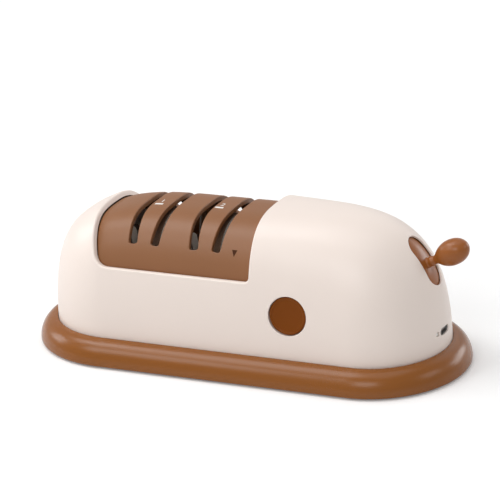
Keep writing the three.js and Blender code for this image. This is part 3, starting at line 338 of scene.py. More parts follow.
def port_hole(p):
    return at_nose(p, round_ended(p[:, 1] - PORT_Y, p[:, 2] - PORT_Z, 4.8, 1.95))


def lamp_hole(p):
    return at_nose(p, np.hypot(p[:, 1] - LAMP_Y, p[:, 2] - PORT_Z) - 1.3)


def button_hole(p):
    ring = np.hypot(p[:, 0] - BUTTON_X, p[:, 2] - BUTTON_Z) - BUTTON_RADIUS - 0.3
    return np.where(p[:, 1] < 0, ring, FAR)


# ---- meshes and pieces

def new_object(name, data):
    piece = bpy.data.objects.new(name, data)
    bpy.context.scene.collection.objects.link(piece)
    return piece


def mesh_piece(name, points, faces, material, corner_normals=None, sharp=None):
    mesh = bpy.data.meshes.new(name)
    place = (np.asarray(points, dtype=float) + np.array([ROW_SHIFT, 0, 0])) * MM
    mesh.from_pydata(place.tolist(), [], [tuple(int(i) for i in f) for f in faces])
    mesh.update()
    mesh.shade_smooth()
    if corner_normals is not None:
        mesh.normals_split_custom_set(corner_normals.reshape(-1, 3).tolist())
    if sharp is not None:
        mesh.set_sharp_from_angle(angle=radians(sharp))
    mesh.materials.append(material)
    return new_object(name, mesh)


def ring_piece(name, rings, material, sharp):
    """Quads between equal rings of points, with the two ends closed."""
    count, faces = len(rings[0]), []
    for first in range(0, (len(rings) - 1) * count, count):
        for s in range(count):
            a, b = first + s, first + (s + 1) % count
            faces.append((a, b, b + count, a + count))
    faces.append(tuple(range(count))[::-1])
    faces.append(tuple((len(rings) - 1) * count + s for s in range(count)))
    return mesh_piece(name, [p for ring in rings for p in ring], faces, material, sharp=sharp)


def stand_for(piece, slot, *replaced, body="sharpener_body"):
    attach(piece, body)
    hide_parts(*replaced)


# ---- node helpers

FLOAT, COUNT, VECTOR, COLOUR = "NodeSocketFloat", "NodeSocketInt", "NodeSocketVector", "NodeSocketColor"
GEOMETRY = "NodeSocketGeometry"


class Signal:
    """One output of a node, which takes part in sums. Its items are all the outputs of that node."""

    def __init__(self, tree, socket):
        self.tree, self.socket = tree, socket

    def __getitem__(self, key):
        return Signal(self.tree, self.socket.node.outputs[key])

    def node(self, kind, values={}, **settings):
        return node(self.tree, kind, values, **settings)

    def vector(self, x=0.0, y=0.0, z=0.0):
        return self.node("ShaderNodeCombineXYZ", {0: x, 1: y, 2: z})

    def split(self):
        return self.node("ShaderNodeSeparateXYZ", {0: self})

    def of(self, operation, other=None, clamp=False):
        return maths(self.tree, operation, self, other, clamp)

    def __add__(self, other):
        return self.of("ADD", other)

    def __sub__(self, other):
        return self.of("SUBTRACT", other)

    def __mul__(self, other):
        return self.of("MULTIPLY", other)

    def __rsub__(self, other):
        return maths(self.tree, "SUBTRACT", other, self)

    def __rtruediv__(self, other):
        return maths(self.tree, "DIVIDE", other, self)


def feed(inputs, values):
    """Links signals to a node's inputs, or sets plain values on them."""
    for key, value in values.items():
        if isinstance(value, Signal):
            value.tree.links.new(value.socket, inputs[key])
        elif value is not None:
            inputs[key].default_value = value


def node(tree, kind, values={}, **settings):
    """A new node, given as its first output. A short kind is of the tree's own family."""
    made = tree.nodes.new(kind if "Node" in kind else tree.bl_idname[:-4] + kind)
    for key, value in settings.items():
        setattr(made, key, value)
    feed(made.inputs, values)
    return Signal(tree, made.outputs[0])


def maths(tree, operation, a, b=None, clamp=False):
    return node(tree, "ShaderNodeMath", {0: a, 1: b}, operation=operation, use_clamp=clamp)


def length_of(vector):
    return vector.node("VectorMath", {0: vector}, operation="LENGTH")["Value"]


def group(name, kind, ins, outs):
    """A node group with named inputs and outputs: what it is given."""
    tree = bpy.data.node_groups.new(name, kind)
    for key, socket, value in ins:
        made = tree.interface.new_socket(name=key, in_out="INPUT", socket_type=socket)
        if value is not None:
            made.default_value = value
    for key, socket in outs:
        tree.interface.new_socket(name=key, in_out="OUTPUT", socket_type=socket)
    return node(tree, "NodeGroupInput")


def close(given, results):
    """Feeds the group's outputs and gives its tree."""
    feed(given.tree.nodes.new("NodeGroupOutput").inputs, results)
    return given.tree


# ---- shape trees

def shape_tree(name, ins):
    """A geometry tree with a geometry input and output and a material."""
    ins = [("Geometry", GEOMETRY, None), *ins, ("Material", "NodeSocketMaterial", None)]
    return group(name, "GeometryNodeTree", ins, [("Geometry", GEOMETRY)])


def finish_tree(given, geometry):
    """Realize Instances and Set Material close every tree."""
    real = given.node("RealizeInstances", {0: geometry})
    coat = given.node("SetMaterial", {"Geometry": real, "Material": given["Material"]})
    return close(given, {"Geometry": coat})


def swept_section(given, around, place_of):
    """Carries the section, drawn as the input's points, round a path: place_of gives a point's place
    from the share of the way round and the section's own coordinates."""
    rows = given.node("AttributeDomainSize", {"Geometry": given["Geometry"]}, component="MESH")["Point Count"]
    grid = given.node("MeshGrid", {"Size X": 1.0, "Size Y": 1.0,
                                   "Vertices X": around + 1.0, "Vertices Y": rows})
    position = given.node("InputPosition")
    here = position.split()
    row = ((here["Y"] + 0.5) * (rows - 1.0)).of("ROUND")
    sample = given.node("SampleIndex", {"Geometry": given["Geometry"], "Value": position, "Index": row},
                        data_type="FLOAT_VECTOR", domain="POINT")
    section = sample.split()
    moved = given.node("SetPosition", {"Geometry": grid, "Position": place_of(here["X"] + 0.5, section)})
    return given.node("MergeByDistance", {"Geometry": moved, "Distance": 1e-6})


def turned_section_tree():
    """Revolves a section, drawn as (radius, 0, height), then turns it and sets it in its place."""
    given = shape_tree("turned_section", [
        ("Sides", COUNT, 48), ("Turn", VECTOR, (0, 0, 0)), ("Place", VECTOR, (0, 0, 0))])

    def place_of(share, section):
        angle, radius = share * (2 * pi), section["X"]
        return given.vector(radius * angle.of("COSINE"), radius * angle.of("SINE"), section["Z"])
    body = swept_section(given, given["Sides"], place_of)
    seat = {"Geometry": body, "Rotation": given["Turn"], "Translation": given["Place"]}
    return finish_tree(given, given.node("Transform", seat))


def rounded_rim_tree():
    """Carries a section, drawn as (inset, shrink, height), round the base's outline: a straight middle
    with an elliptic end on each side. The shrink closes the section's ends at the middle."""
    given = shape_tree("rounded_rim", [
        ("Around", COUNT, 288), ("Length", FLOAT, 0.24), ("Width", FLOAT, 0.1), ("Left end", FLOAT, 0.05),
        ("Right end", FLOAT, 0.05), ("Shift", FLOAT, 0.0)])

    def place_of(share, section):
        angle = (share + 0.5 / given["Around"]) * (2 * pi)
        cosine, inset, shrink = angle.of("COSINE"), section["X"], section["Y"]
        right = cosine.of("GREATER_THAN", 0.0)
        end = given["Right end"] * right + given["Left end"] * (1.0 - right)
        straight = given["Length"] * 0.5 - end
        along = cosine.of("SIGN") * (straight + (end - inset) * cosine.of("ABSOLUTE"))
        across = (given["Width"] * 0.5 - inset) * angle.of("SINE")
        return given.vector(along * shrink + given["Shift"], across * shrink, section["Z"])
    return finish_tree(given, swept_section(given, given["Around"], place_of))


STATIONS = range(1, 4)
STATION_INPUTS = [(f"{what} {i}", FLOAT, 0.0) for i in STATIONS for what in ("Station", "Half span")]


def paired_points(given):
    """Two points at each station along the body, on both sides of its middle plane. A station whose half
    span is 0 is left out."""
    joined = given.node("JoinGeometry")
    for i in STATIONS:
        at, half = given[f"Station {i}"], given[f"Half span {i}"]
        ends = {"Start Location": given.vector(at, half), "Offset": given.vector(at, half * -1.0)}
        line = given.node("MeshLine", {"Count": half.of("GREATER_THAN", 0.0) * 2.0, **ends}, mode="END_POINTS")
        feed(joined.socket.node.inputs, {0: line})
    return joined


def copied(given, piece):
    """A copy of the piece at each point of the stations."""
    return given.node("InstanceOnPoints", {"Points": paired_points(given), "Instance": piece})


def raised(given, piece):
    """The piece with its middle halfway between the bottom and the top."""
    middle = (given["Top"] + given["Bottom"]) * 0.5
    return given.node("Transform", {"Geometry": piece, "Translation": given.vector(0.0, 0.0, middle)})


def cut_tree(given, tools):
    """Takes the tools' shapes out of the piece."""
    cut = given.node("MeshBoolean", {"Mesh 1": given["Geometry"]}, operation="DIFFERENCE", solver="EXACT")
    for tool in tools:
        feed(cut.socket.node.inputs, {"Mesh 2": tool})
    return finish_tree(given, cut)


def paired_copies_tree():
    """Sets a copy of the piece at each point of the stations."""
    given = shape_tree("paired_copies", STATION_INPUTS)
    return finish_tree(given, copied(given, given["Geometry"]))


def paired_holes_tree():
    """Sinks a round hole at each point of the stations."""
    given = shape_tree("paired_holes", [
        ("Radius", FLOAT, 0.003), ("Bottom", FLOAT, -0.001), ("Top", FLOAT, 0.003), *STATION_INPUTS])
    depth = given["Top"] - given["Bottom"]
    bit = given.node("MeshCylinder", {"Vertices": 40, "Radius": given["Radius"], "Depth": depth})
    bits = copied(given, raised(given, bit))
    return cut_tree(given, [given.node("RealizeInstances", {0: bits})])


def cross_recess_tree():
    """Cuts the driver's cross into a screw head, down from a height."""
    given = shape_tree("cross_recess", [
        ("Span", FLOAT, 0.003), ("Width", FLOAT, 0.0008), ("Bottom", FLOAT, 0.0), ("Top", FLOAT, 0.003)])
    bars = []
    for x, y in (("Span", "Width"), ("Width", "Span")):
        size = given.vector(given[x], given[y], given["Top"] - given["Bottom"])
        bars.append(raised(given, given.node("MeshCube", {"Size": size})))
    return cut_tree(given, bars)


TURNED_SECTION, ROUNDED_RIM = turned_section_tree(), rounded_rim_tree()
PAIRED_COPIES, PAIRED_HOLES, CROSS_RECESS = paired_copies_tree(), paired_holes_tree(), cross_recess_tree()


def section_object(name, section):
    """The section's points as a bare mesh for a shape tree, from millimetres."""
    mesh = bpy.data.meshes.new(name)
    mesh.from_pydata([tuple(c * MM for c in p) for p in section],
                     [(i, i + 1) for i in range(len(section) - 1)], [])
    return new_object(name, mesh)


def shaped(piece, material, steps, sharp=35):
    """Runs the piece through shape trees, each with its named values, and leaves a plain mesh."""
    for tree, values in steps:
        modifier = piece.modifiers.new(tree.name, "NODES")
        modifier.node_group = tree
        for key, value in {**values, "Material": material}.items():
            modifier[tree.interface.items_tree[key].identifier] = value
    graph = bpy.context.evaluated_depsgraph_get()
    mesh = bpy.data.meshes.new_from_object(piece.evaluated_get(graph))
    piece.modifiers.clear()
    piece.data = mesh
    mesh.shade_smooth()
    mesh.set_sharp_from_angle(angle=radians(sharp))
    return piece


def stations(places):
    """Named values for up to three stations, from (x, half span) pairs in millimetres."""
    values = {}
    for i, (x, half) in zip(STATIONS, places):
        values[f"Station {i}"], values[f"Half span {i}"] = (x + ROW_SHIFT) * MM, half * MM
    return values


def turned(name, section, material, place=(0, 0, 0), turn=(0, 0, 0), sides=64, more=(), sharp=35):
    """A turned piece from its (radius, height) section."""
    piece = section_object(name, [(radius, 0, height) for radius, height in section])
    values = {"Sides": sides, "Turn": turn, "Place": tuple(c * MM for c in place)}
    return shaped(piece, material, [(TURNED_SECTION, values), *more], sharp)


def along_body(name, ending, section, material, place, slot, body="sharpener_body", **more):
    """A turned piece with its axis along the body, its heights measured along +X from its place."""
    piece = turned(name + ending, section, material, place, (0, pi / 2, 0), **more)
    stand_for(piece, slot, name, body=body)


def on_spindle(name, ending, section, material, x, slot, body="wheel_spindle", **more):
    along_body(name, ending, section, material, (x + ROW_SHIFT, 0, SPINDLE), slot, body, **more)


def arc(centre, radius, start, end, steps):
    """Points of a section's rounded corner, angles in degrees."""
    angles = [radians(start + (end - start) * i / steps) for i in range(steps + 1)]
    return [(centre[0] + radius * cos(a), centre[1] + radius * sin(a)) for a in angles]


# ---- finishes

def noise(place, scale, detail):
    return place.node("TexNoise", {"Vector": place, "Scale": scale, "Detail": detail})


def finish_group(name, ins):
    """A shader group for a surface, and the place it is read at, in Object space."""
    shared = [("Colour", COLOUR, (0.8, 0.8, 0.8, 1)), ("Gloss", FLOAT, 0.4), ("Drift", FLOAT, 0.04)]
    given = group(name, "ShaderNodeTree", shared + ins,
                  [("Colour", COLOUR), ("Roughness", FLOAT), ("Height", FLOAT)])
    return given, given.node("TexCoord")["Object"]


def close_finish(given, colour, share, rough, height):
    """Puts out the colour made lighter or darker by a share round 1, the roughness and the relief."""
    tint = given.node("VectorMath", {0: colour, "Scale": share}, operation="SCALE")
    return close(given, {"Colour": tint, "Roughness": rough, "Height": height})


def moulded_grain():
    """Fine mould texture, with slow, faint drifts of tone and gloss."""
    given, place = finish_group("moulded_grain", [("Grain size", FLOAT, 2600.0)])
    fine, slow = noise(place, given["Grain size"], 2.0), noise(place, 22.0, 3.0)
    share = (slow - 0.5) * given["Drift"] + 1.0 + (fine - 0.5) * (given["Drift"] * 0.5)
    rough = given["Gloss"] + (slow - 0.5) * 0.08 + (fine - 0.5) * 0.1
    return close_finish(given, given["Colour"], share, rough, fine)


def drawn_metal():
    """Streaks left by rolling or turning: fine along the stretch, long across it."""
    given, place = finish_group("drawn_metal", [("Stretch", VECTOR, (60, 1200, 1200))])
    scaled = given.node("VectorMath", {0: place, 1: given["Stretch"]}, operation="MULTIPLY")
    streak, slow = noise(scaled, 1.0, 4.0), noise(place, 60.0, 2.0)
    rough = given["Gloss"] + (streak - 0.5) * 0.16 + (slow - 0.5) * 0.12
    return close_finish(given, given["Colour"], (streak - 0.5) * given["Drift"] + 1.0, rough, streak)


def bonded_grit():
    """Packed grains with dark joints between them and a few that stand out, on a working rim and on flanks."""
    given, place = finish_group("bonded_grit", [
        ("Grains", FLOAT, 2200.0), ("Rim radius", FLOAT, 0.02), ("Flank colour", COLOUR, (0.1, 0.1, 0.1, 1))])
    spot = place.split()
    away = length_of(given.vector(0.0, spot["Y"], spot["Z"] - SPINDLE * MM))
    on_rim = (away - given["Rim radius"]).of("MULTIPLY", 2500.0, clamp=True)
    tint = given.node("Mix", {"Factor": on_rim, "A": given["Flank colour"], "B": given["Colour"]},
                      data_type="RGBA")["Result"]
    cells = given.node("TexVoronoi", {"Vector": place, "Scale": given["Grains"]}, feature="F1")
    tones = given.node("SeparateColor", {0: cells["Color"]})
    dome = maths(given.tree, "SUBTRACT", 1.0, cells["Distance"], clamp=True)
    slow = noise(place, 140.0, 3.0)
    share = (tones - 0.5) * given["Drift"] + 1.0 + (dome - 0.6) * 0.12 + (slow - 0.5) * 0.1
    rough = given["Gloss"] + (tones[1] - 0.5) * 0.3
    return close_finish(given, tint, share, rough, dome + (tones[2] - 0.5) * 0.8)


MOULDED_GRAIN, DRAWN_METAL, BONDED_GRIT = moulded_grain(), drawn_metal(), bonded_grit()


def new_material(name):
    material = bpy.data.materials.new(name)
    material.use_nodes = True
    return material, material.node_tree, material.node_tree.nodes["Principled BSDF"].inputs


def finish(name, surface_group, colour, gloss, drift, relief, metal=0.0, coat=0.0, lustre=0.5, **values):
    """A material whose colour, roughness and relief come from a finish group. The relief is in mm."""
    material, tree, shader = new_material(name)
    look = node(tree, "Group", node_tree=surface_group)
    feed(look.socket.node.inputs, {"Colour": (*colour, 1), "Gloss": gloss, "Drift": drift, **values})
    bump = node(tree, "Bump", {"Distance": relief * MM, "Height": look["Height"]})
    feed(shader, {
        "Base Color": look["Colour"], "Roughness": look["Roughness"], "Normal": bump, "Metallic": metal,
        "Coat Weight": coat, "Coat Roughness": 0.2, "Specular IOR Level": lustre})
    return material


def moulded(name, colour, gloss, drift=0.05, relief=0.012, grain=2600.0, **more):
    return finish(name, MOULDED_GRAIN, colour, gloss, drift, relief, **{"Grain size": grain, **more})


def metal(name, colour, gloss, stretch):
    return finish(name, DRAWN_METAL, colour, gloss, 0.1, 0.002, metal=1.0, Stretch=stretch)


def grit(name, colour, flank, grains, relief):
    rim = {"Rim radius": 21.2 * MM, "Flank colour": (*flank, 1)}
    return finish(name, BONDED_GRIT, colour, 0.75, 0.25, relief, Grains=grains, **rim)


CREAM = moulded("cream_housing_plastic", (0.86, 0.755, 0.69), 0.37, 0.02, lustre=0.42)
CARAMEL_BASE = moulded("caramel_base_plastic", (0.25, 0.08, 0.0095), 0.25, lustre=0.36)
CARAMEL_COVER = moulded("caramel_cover_plastic", (0.252, 0.103, 0.038), 0.43, 0.12, 0.035, 1500.0, lustre=0.45)
CARAMEL_BUTTON = moulded("caramel_button_plastic", (0.187, 0.0475, 0.003), 0.32, lustre=0.1)
CARAMEL_LEVER = moulded("caramel_lever_plastic", (0.3, 0.093, 0.017), 0.3, lustre=0.36)
FOOT_RUBBER = moulded("black_foot_rubber", (0.022, 0.021, 0.02), 0.72, 0.2, 0.03, 1500.0)
INNER_PLASTIC = moulded("dark_inner_plastic", (0.075, 0.043, 0.03), 0.5, 0.1)
MARK_WHITE = moulded("white_mark_ink", (0.88, 0.86, 0.83), 0.5, 0.04, 0.004, 5000.0)
# The closing mark's dark brown is painted shade: it stands for the shade inside an engraved triangle, not for
# ink.
ENGRAVING_SHADE_BROWN = moulded("painted_engraving_shade", (0.06, 0.02, 0.007), 0.55, 0.06, 0.004, 5000.0, lustre=0.1)
BOARD_GREEN = moulded("green_board_mask", (0.012, 0.09, 0.035), 0.3, 0.35, 0.01, 900.0, coat=0.3)
CELL_SLEEVE = moulded("blue_cell_sleeve", (0.03, 0.12, 0.32), 0.3, 0.06, coat=0.4)
LAMP_LENS = moulded("milky_lamp_lens", (0.72, 0.74, 0.7), 0.22, relief=0.002, coat=0.4)
GUIDE_STEEL = metal("rolled_guide_steel", (0.62, 0.59, 0.57), 0.42, (1500, 40, 1500))
SHAFT_STEEL = metal("turned_shaft_steel", (0.62, 0.61, 0.6), 0.24, (1800, 60, 60))
STRAP_STEEL = metal("strap_steel", (0.5, 0.5, 0.5), 0.4, (50, 1200, 1200))
SCREW_STEEL = metal("screw_steel", (0.42, 0.42, 0.43), 0.32, (200, 200, 2500))
MOTOR_CAN = metal("motor_can_steel", (0.55, 0.54, 0.52), 0.34, (900, 70, 70))
TURNED_BRASS = metal("turned_brass", (0.72, 0.48, 0.2), 0.28, (1600, 50, 50))
# The socket can's steel is darkened well below bare steel: painted shade for the hollow of the charging port.
SHADE_DARKENED_SOCKET_STEEL = metal("socket_steel", (0.17, 0.165, 0.16), 0.34, (60, 900, 900))
COARSE_GRIT = grit("coarse_abrasive_grit", (0.2, 0.115, 0.07), (0.74, 0.69, 0.62), 1500.0, 0.16)
FINE_GRIT = grit("fine_abrasive_grit", (0.24, 0.14, 0.085), (0.8, 0.76, 0.7), 3200.0, 0.07)

CAD_FINISHES = {
    INNER_PLASTIC: ["chassis", "button_plunger", "button_switch", "lever_rail", "slide_switch"],
    GUIDE_STEEL: ["blade_guide_1", "blade_guide_2", "blade_guide_3", "blade_guide_4"],
    STRAP_STEEL: ["motor_clamp"],
    BOARD_GREEN: ["control_board", "charge_board", "button_board"],
}
for material, names in CAD_FINISHES.items():
    for name in names:
        for place in bpy.data.objects[name].material_slots:
            place.material = material


# ---- housing

def pocket_depth(p):
    """Wall thickness: thinned over the whole path of the lever's slide."""
    across, rise = p[:, 0] - NOSE_X, p[:, 2] - NOSE_Z
    along = (np.abs(np.arctan2(rise, across) - NOSE_ANGLE) - POCKET_REACH) * NOSE_RADIUS
    outside = np.maximum(along, np.abs(p[:, 1]) - POCKET_HALF)
    share = np.where(p[:, 0] > NOSE_START, np.clip(outside / 1.5, 0, 1), 1.0)
    roof = NOSE_RADIUS - NOSE_WALL - p[:, 1] ** 2 / (2 * SLIDE_CROSS)
    thin = np.clip(0.9 * (np.hypot(across, rise) - roof), 0.75, NOSE_WALL)
    return thin + (WALL - thin) * share


def make_housing():
    rims = [(opening_field(0, SILL), 1.1, 1, ()), (nose_slot, 0.55, 1, ()), (button_hole, 0.35, 1, ()),
            (port_hole, 0.35, 1, ()), (lamp_hole, 0.2, 1, ())]

    def skirt(p):
        p[p[:, 2] < BASE_TOP + 0.02, 2] = BASE_TOP - SEAT + 0.1
    piece = skin_piece("housing_shell", Skin(dome_grid(150, 56, 44), 0.0), rims, pocket_depth, skirt, CREAM)
    stand_for(piece, "shell_cream", "main_housing")


# ---- slot cover

SLOTS = [slot_field(pair, side) for pair in PAIRS for side in (-1, 1)]
SILL_HALF = 35.3
COVER_BOX = (-90, -60, 40), (25, 60, 90)


def cover_depth(p):
    """Cover thickness: deeper in the flanges round the slots."""
    nearest = np.min([field(p) for field in SLOTS], axis=0)
    return np.where(nearest < SLOT_FLANGE + 0.12, SLOT_DEPTH, COVER_WALL)


def make_cover():
    skin = Skin(dome_grid(170, 60, 52), COVER_INSET)
    inside = np.all((skin.points > COVER_BOX[0]) & (skin.points < COVER_BOX[1]), axis=1)
    skin.keep(inside[skin.triangles].all(axis=1))
    flange = (SLOT_FLANGE, SLOT_FLANGE + 0.25)
    rims = [(opening_field(COVER_GAP, COVER_BOTTOM), 0.4, -1, ()), *[(field, 0.5, 1, flange) for field in SLOTS]]

    def skirt(p):
        low = p[:, 2] < SILL + 1
        p[low, 1] = np.clip(p[low, 1], -SILL_HALF, SILL_HALF)
    piece = skin_piece("slot_cover_shell", skin, rims, cover_depth, skirt, CARAMEL_COVER)
    stand_for(piece, "cover_caramel", "slot_cover", body="slot_cover")


MARK_LIFT, MARK_SINK = 0.06, 0.25


def ink_and_painted_shade_mark(name, outlines, place_of, axis, material):
    """A thin coat on the cover, white ink for the numerals and painted shade for the engraved closing mark: flat
    outlines carried onto its skin and given a thickness.
    """
    points, faces, first = [], [], 0
    for flat, triangles in outlines:
        base = reach_skin([place_of(u, v) for u, v in flat], axis, COVER_INSET)
        lift = np.array(axis)
        points += [*(base + lift * MARK_LIFT), *(base - lift * MARK_SINK)]
        count = len(flat)
        faces += [tuple(first + i for i in t) for t in triangles]
        faces += [tuple(first + count + i for i in t[::-1]) for t in triangles]
        ways = {(t[i], t[(i + 1) % len(t)]) for t in triangles for i in range(len(t))}
        faces += [(first + j, first + i, first + i + count, first + j + count)
                  for i, j in ways if (j, i) not in ways]
        first += 2 * count
    piece = mesh_piece(name, points, faces, material, sharp=30)
    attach(piece, "slot_cover")


def bar_outline(left, right, low, high, cells=6):
    flat = [(u, v) for u in np.linspace(left, right, cells + 1) for v in np.linspace(low, high, 3)]
    corners = [i * 3 + j for i in range(cells) for j in range(2)]
    return flat, [(first, first + 3, first + 4, first + 1) for first in corners]


def numeral_outline(digit, height, u, v):
    """A plain numeral's flat outline about a middle point, as points and triangles."""
    curve = bpy.data.curves.new("numeral", "FONT")
    curve.body, curve.align_x, curve.resolution_u = digit, "CENTER", 3
    holder = new_object("numeral", curve)
    graph = bpy.context.evaluated_depsgraph_get()
    mesh = bpy.data.meshes.new_from_object(holder.evaluated_get(graph))
    bpy.data.objects.remove(holder)
    sheet = bmesh.new()
    sheet.from_mesh(mesh)
    bmesh.ops.remove_doubles(sheet, verts=sheet.verts, dist=1e-5)
    bmesh.ops.triangulate(sheet, faces=sheet.faces)
    sheet.faces.ensure_lookup_table()
    flat = np.array([vert.co[:2] for vert in sheet.verts])
    low, high = flat.min(axis=0), flat.max(axis=0)
    flat = (flat - (low + high) / 2) * height / (high[1] - low[1]) + np.array([u, v])
    triangles = [tuple(vert.index for vert in face.verts) for face in sheet.faces]
    if sheet.faces[0].normal.z < 0:
        triangles = [t[::-1] for t in triangles]
    sheet.free()
    return flat.tolist(), triangles


def make_marks():
    for digit, middle, back in (("1", -45.9, -3.0), ("2", -12.0, -1.2)):
        outlines = [numeral_outline(digit, 3.4, middle, back),
                    bar_outline(middle - 2.6, middle + 2.0, back - 5.4, back - 3.8)]
        ink_and_painted_shade_mark(f"cover_numeral_{digit}", outlines, lambda u, v: (u, v, 0), (0, 0, 1), MARK_WHITE)
    # The real closing mark is an engraved triangle; this flat dark brown mark is painted shade for the hollow of
    # the engraving.
    arrow = [(5.3, 66.4), (8.3, 66.4), (6.7, 63.2)]
    ink_and_painted_shade_mark("painted_shade_closing_mark", [(arrow, [(0, 2, 1)])], lambda u, v: (u, 0, v), (0, -1, 0), ENGRAVING_SHADE_BROWN)


# ---- button

def make_button():
    """A dished disc inside a rounded lip, with a short rod behind it."""
    sides, inset, back, rod_radius, rod_length = 96, 0.55, -36.05, 3.0, 5.0
    edge, lip_width, step = 1.0, 0.9, 0.4
    lip = BUTTON_RADIUS - edge
    bowl = lip - lip_width
    radii = [0.02, *np.linspace(1, bowl, 12)]
    drops = [step + (BUTTON_DISH - step) * (1 - (radius / bowl) ** 2) for radius in radii]
    for share in (0.2, 0.4, 0.6, 0.8, 1.0):
        radii.append(bowl + share * (lip - bowl))
        drops.append(step * (1 - share * share * (3 - 2 * share)))
    for a in range(15, 91, 15):
        radii.append(lip + edge * sin(radians(a)))
        drops.append(edge * (1 - cos(radians(a))))
    angles = np.linspace(0, 2 * pi, sides, endpoint=False)

    def ring(radius, y):
        return columns(BUTTON_X + radius * np.cos(angles), np.full(sides, y),
                       BUTTON_Z + radius * np.sin(angles))
    rings = [reach_skin(ring(radius, 0.0), (0, -1, 0), inset) + np.array([0, drop, 0])
             for radius, drop in zip(radii, drops)]
    rod_end = back + rod_length
    rings += [ring(radius, y) for radius, y in (
        (BUTTON_RADIUS, back), (rod_radius, back), (rod_radius, rod_end), (0.02, rod_end))]
    piece = ring_piece("push_button_disc", rings, CARAMEL_BUTTON, 40)
    stand_for(piece, "button_caramel", "power_button", body="power_button")


# ---- base tray, feet and screws

FEET, FOOT_RADIUS, FOOT_TOP = [(-99.0, 23.0), (99.0, 23.0)], 6.5, 2.9
HOUSING_SCREWS = [(-84.0, 31.66), (24.0, 35.55), (84.0, 32.86)]
CHASSIS_SCREWS = [(-61.996, 25.5), (73.0, 18.0)]
CLAMP_SCREWS = [(56.0, 23.0)]
HOUSING_SEAT, CHASSIS_SEAT, CLAMP_SEAT = 2.9, 26.2, 27.4
TRAY_BOTTOM, TRAY_FLOOR, TRAY_ROUND = 0.8, 4.4, 1.4
SCREW_LENGTH, SCREW_RADIUS, HEAD_RADIUS, HEAD_HEIGHT, HEAD_EDGE = 10.0, 1.2, 2.9, 1.8, 0.6


def make_base():
    rim, hollow, closed = BULLNOSE - 0.3, BULLNOSE + WALL + 0.3, TRAY_ROUND + 12
    section = [(closed, 0, TRAY_BOTTOM), (closed, 1, TRAY_BOTTOM), (TRAY_ROUND + 0.4, 1, TRAY_BOTTOM)]
    for a in (20, 45, 70):
        s, c = sin(radians(a)), cos(radians(a))
        section.append((TRAY_ROUND * (1 - s), 1, TRAY_BOTTOM + TRAY_ROUND * (1 - c)))
    for i in range(19):
        a = pi / 2 * i / 18
        rise = (BASE_TOP - TRAY_BOTTOM - TRAY_ROUND) * sin(a)
        section.append((rim * (1 - cos(a)), 1, TRAY_BOTTOM + TRAY_ROUND + rise))
    section += [(rim, 1, BASE_TOP - SEAT), (hollow, 1, BASE_TOP - SEAT), (hollow, 1, TRAY_FLOOR),
                (hollow, 0, TRAY_FLOOR)]
    piece = section_object("base_tray_rim", [(a, b / MM, c) for a, b, c in section])
    outline = {"Around": 288, "Length": BASE_LENGTH * MM, "Width": BASE_WIDTH * MM,
               "Left end": BASE_LEFT * MM, "Right end": BASE_RIGHT * MM, "Shift": ROW_SHIFT * MM}
    holes = [(FOOT_RADIUS + 0.3, FOOT_TOP, FEET), (HEAD_RADIUS + 0.3, HOUSING_SEAT, HOUSING_SCREWS),
             (SCREW_RADIUS + 0.2, TRAY_FLOOR + 0.6, HOUSING_SCREWS)]
    shaped(piece, CARAMEL_BASE, [(ROUNDED_RIM, outline), *[
        (PAIRED_HOLES, {"Radius": radius * MM, "Bottom": -1 * MM, "Top": top * MM, **stations(places)})
        for radius, top, places in holes]], sharp=38)
    stand_for(piece, "base_caramel", "base_tray")


def make_feet():
    hollow, edge = 0.3, 1
    section = [(0, hollow), (2.6, hollow), (3.1, 0), *arc((FOOT_RADIUS - edge, edge), edge, -90, 0, 5),
               (FOOT_RADIUS, FOOT_TOP), (0, FOOT_TOP)]
    piece = turned("rubber_feet", section, FOOT_RUBBER, sides=56, more=[(PAIRED_COPIES, stations(FEET))])
    stand_for(piece, "foot_rubber", *[f"rubber_foot_{i}" for i in range(1, 5)])


def make_screws(name, places, seat, head_down=False):
    """Pan-head screws with a driver's cross, one mesh for the whole set."""
    dome = [(HEAD_RADIUS * cos(radians(a)),
             HEAD_EDGE + (HEAD_HEIGHT - HEAD_EDGE) * sin(radians(a))) for a in range(0, 90, 15)]
    section = [(0, -SCREW_LENGTH), (0.5, -SCREW_LENGTH), (SCREW_RADIUS, -SCREW_LENGTH + 1), (SCREW_RADIUS, 0),
               (HEAD_RADIUS, 0), *dome, (0, HEAD_HEIGHT)]
    sign = -1 if head_down else 1
    bottom, top = sorted((seat + sign * (HEAD_HEIGHT + 0.5), seat + sign * 0.7))
    cross = {"Span": 3.4 * MM, "Width": 0.8 * MM, "Bottom": bottom * MM, "Top": top * MM}
    piece = turned(name + "s", section, SCREW_STEEL, place=(0, 0, seat), sides=32,
                   turn=(pi if head_down else 0, 0, 0),
                   more=[(CROSS_RECESS, cross), (PAIRED_COPIES, stations(places))])
    stand_for(piece, "screw_steel", *[f"{name}_{i + 1}" for i in range(2 * len(places))])


# ---- wheels, drive, motor and cells

BORE, HUB_RADIUS, HUB_HALF = 2.8, 9.0, 7.2
WHEEL_RADIUS, WHEEL_RIM_HALF, WHEEL_CONE, WHEEL_EDGE = 22.0, 3.3, 8.0, 0.7


def chamfered(inner, outer, start, end, cut):
    """Section of a sleeve with small chamfers at its outer edges."""
    return [(inner, start), (outer - cut, start), (outer, start + cut), (outer, end - cut), (outer - cut, end),
            (inner, end), (inner, start)]


def mirrored(half):
    """A closed section from its lower half."""
    return half + [(radius, -height) for radius, height in half[::-1]] + [half[0]]


def flank(radius):
    fall = (WHEEL_RIM_HALF - HUB_HALF) * (radius - WHEEL_CONE) / (WHEEL_RADIUS - WHEEL_CONE)
    return radius, -(HUB_HALF + fall)


def span_x(name):
    """A node's reach along the body, in the part's own millimetres."""
    low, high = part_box(name)
    return low[0] / MM - ROW_SHIFT, high[0] / MM - ROW_SHIFT


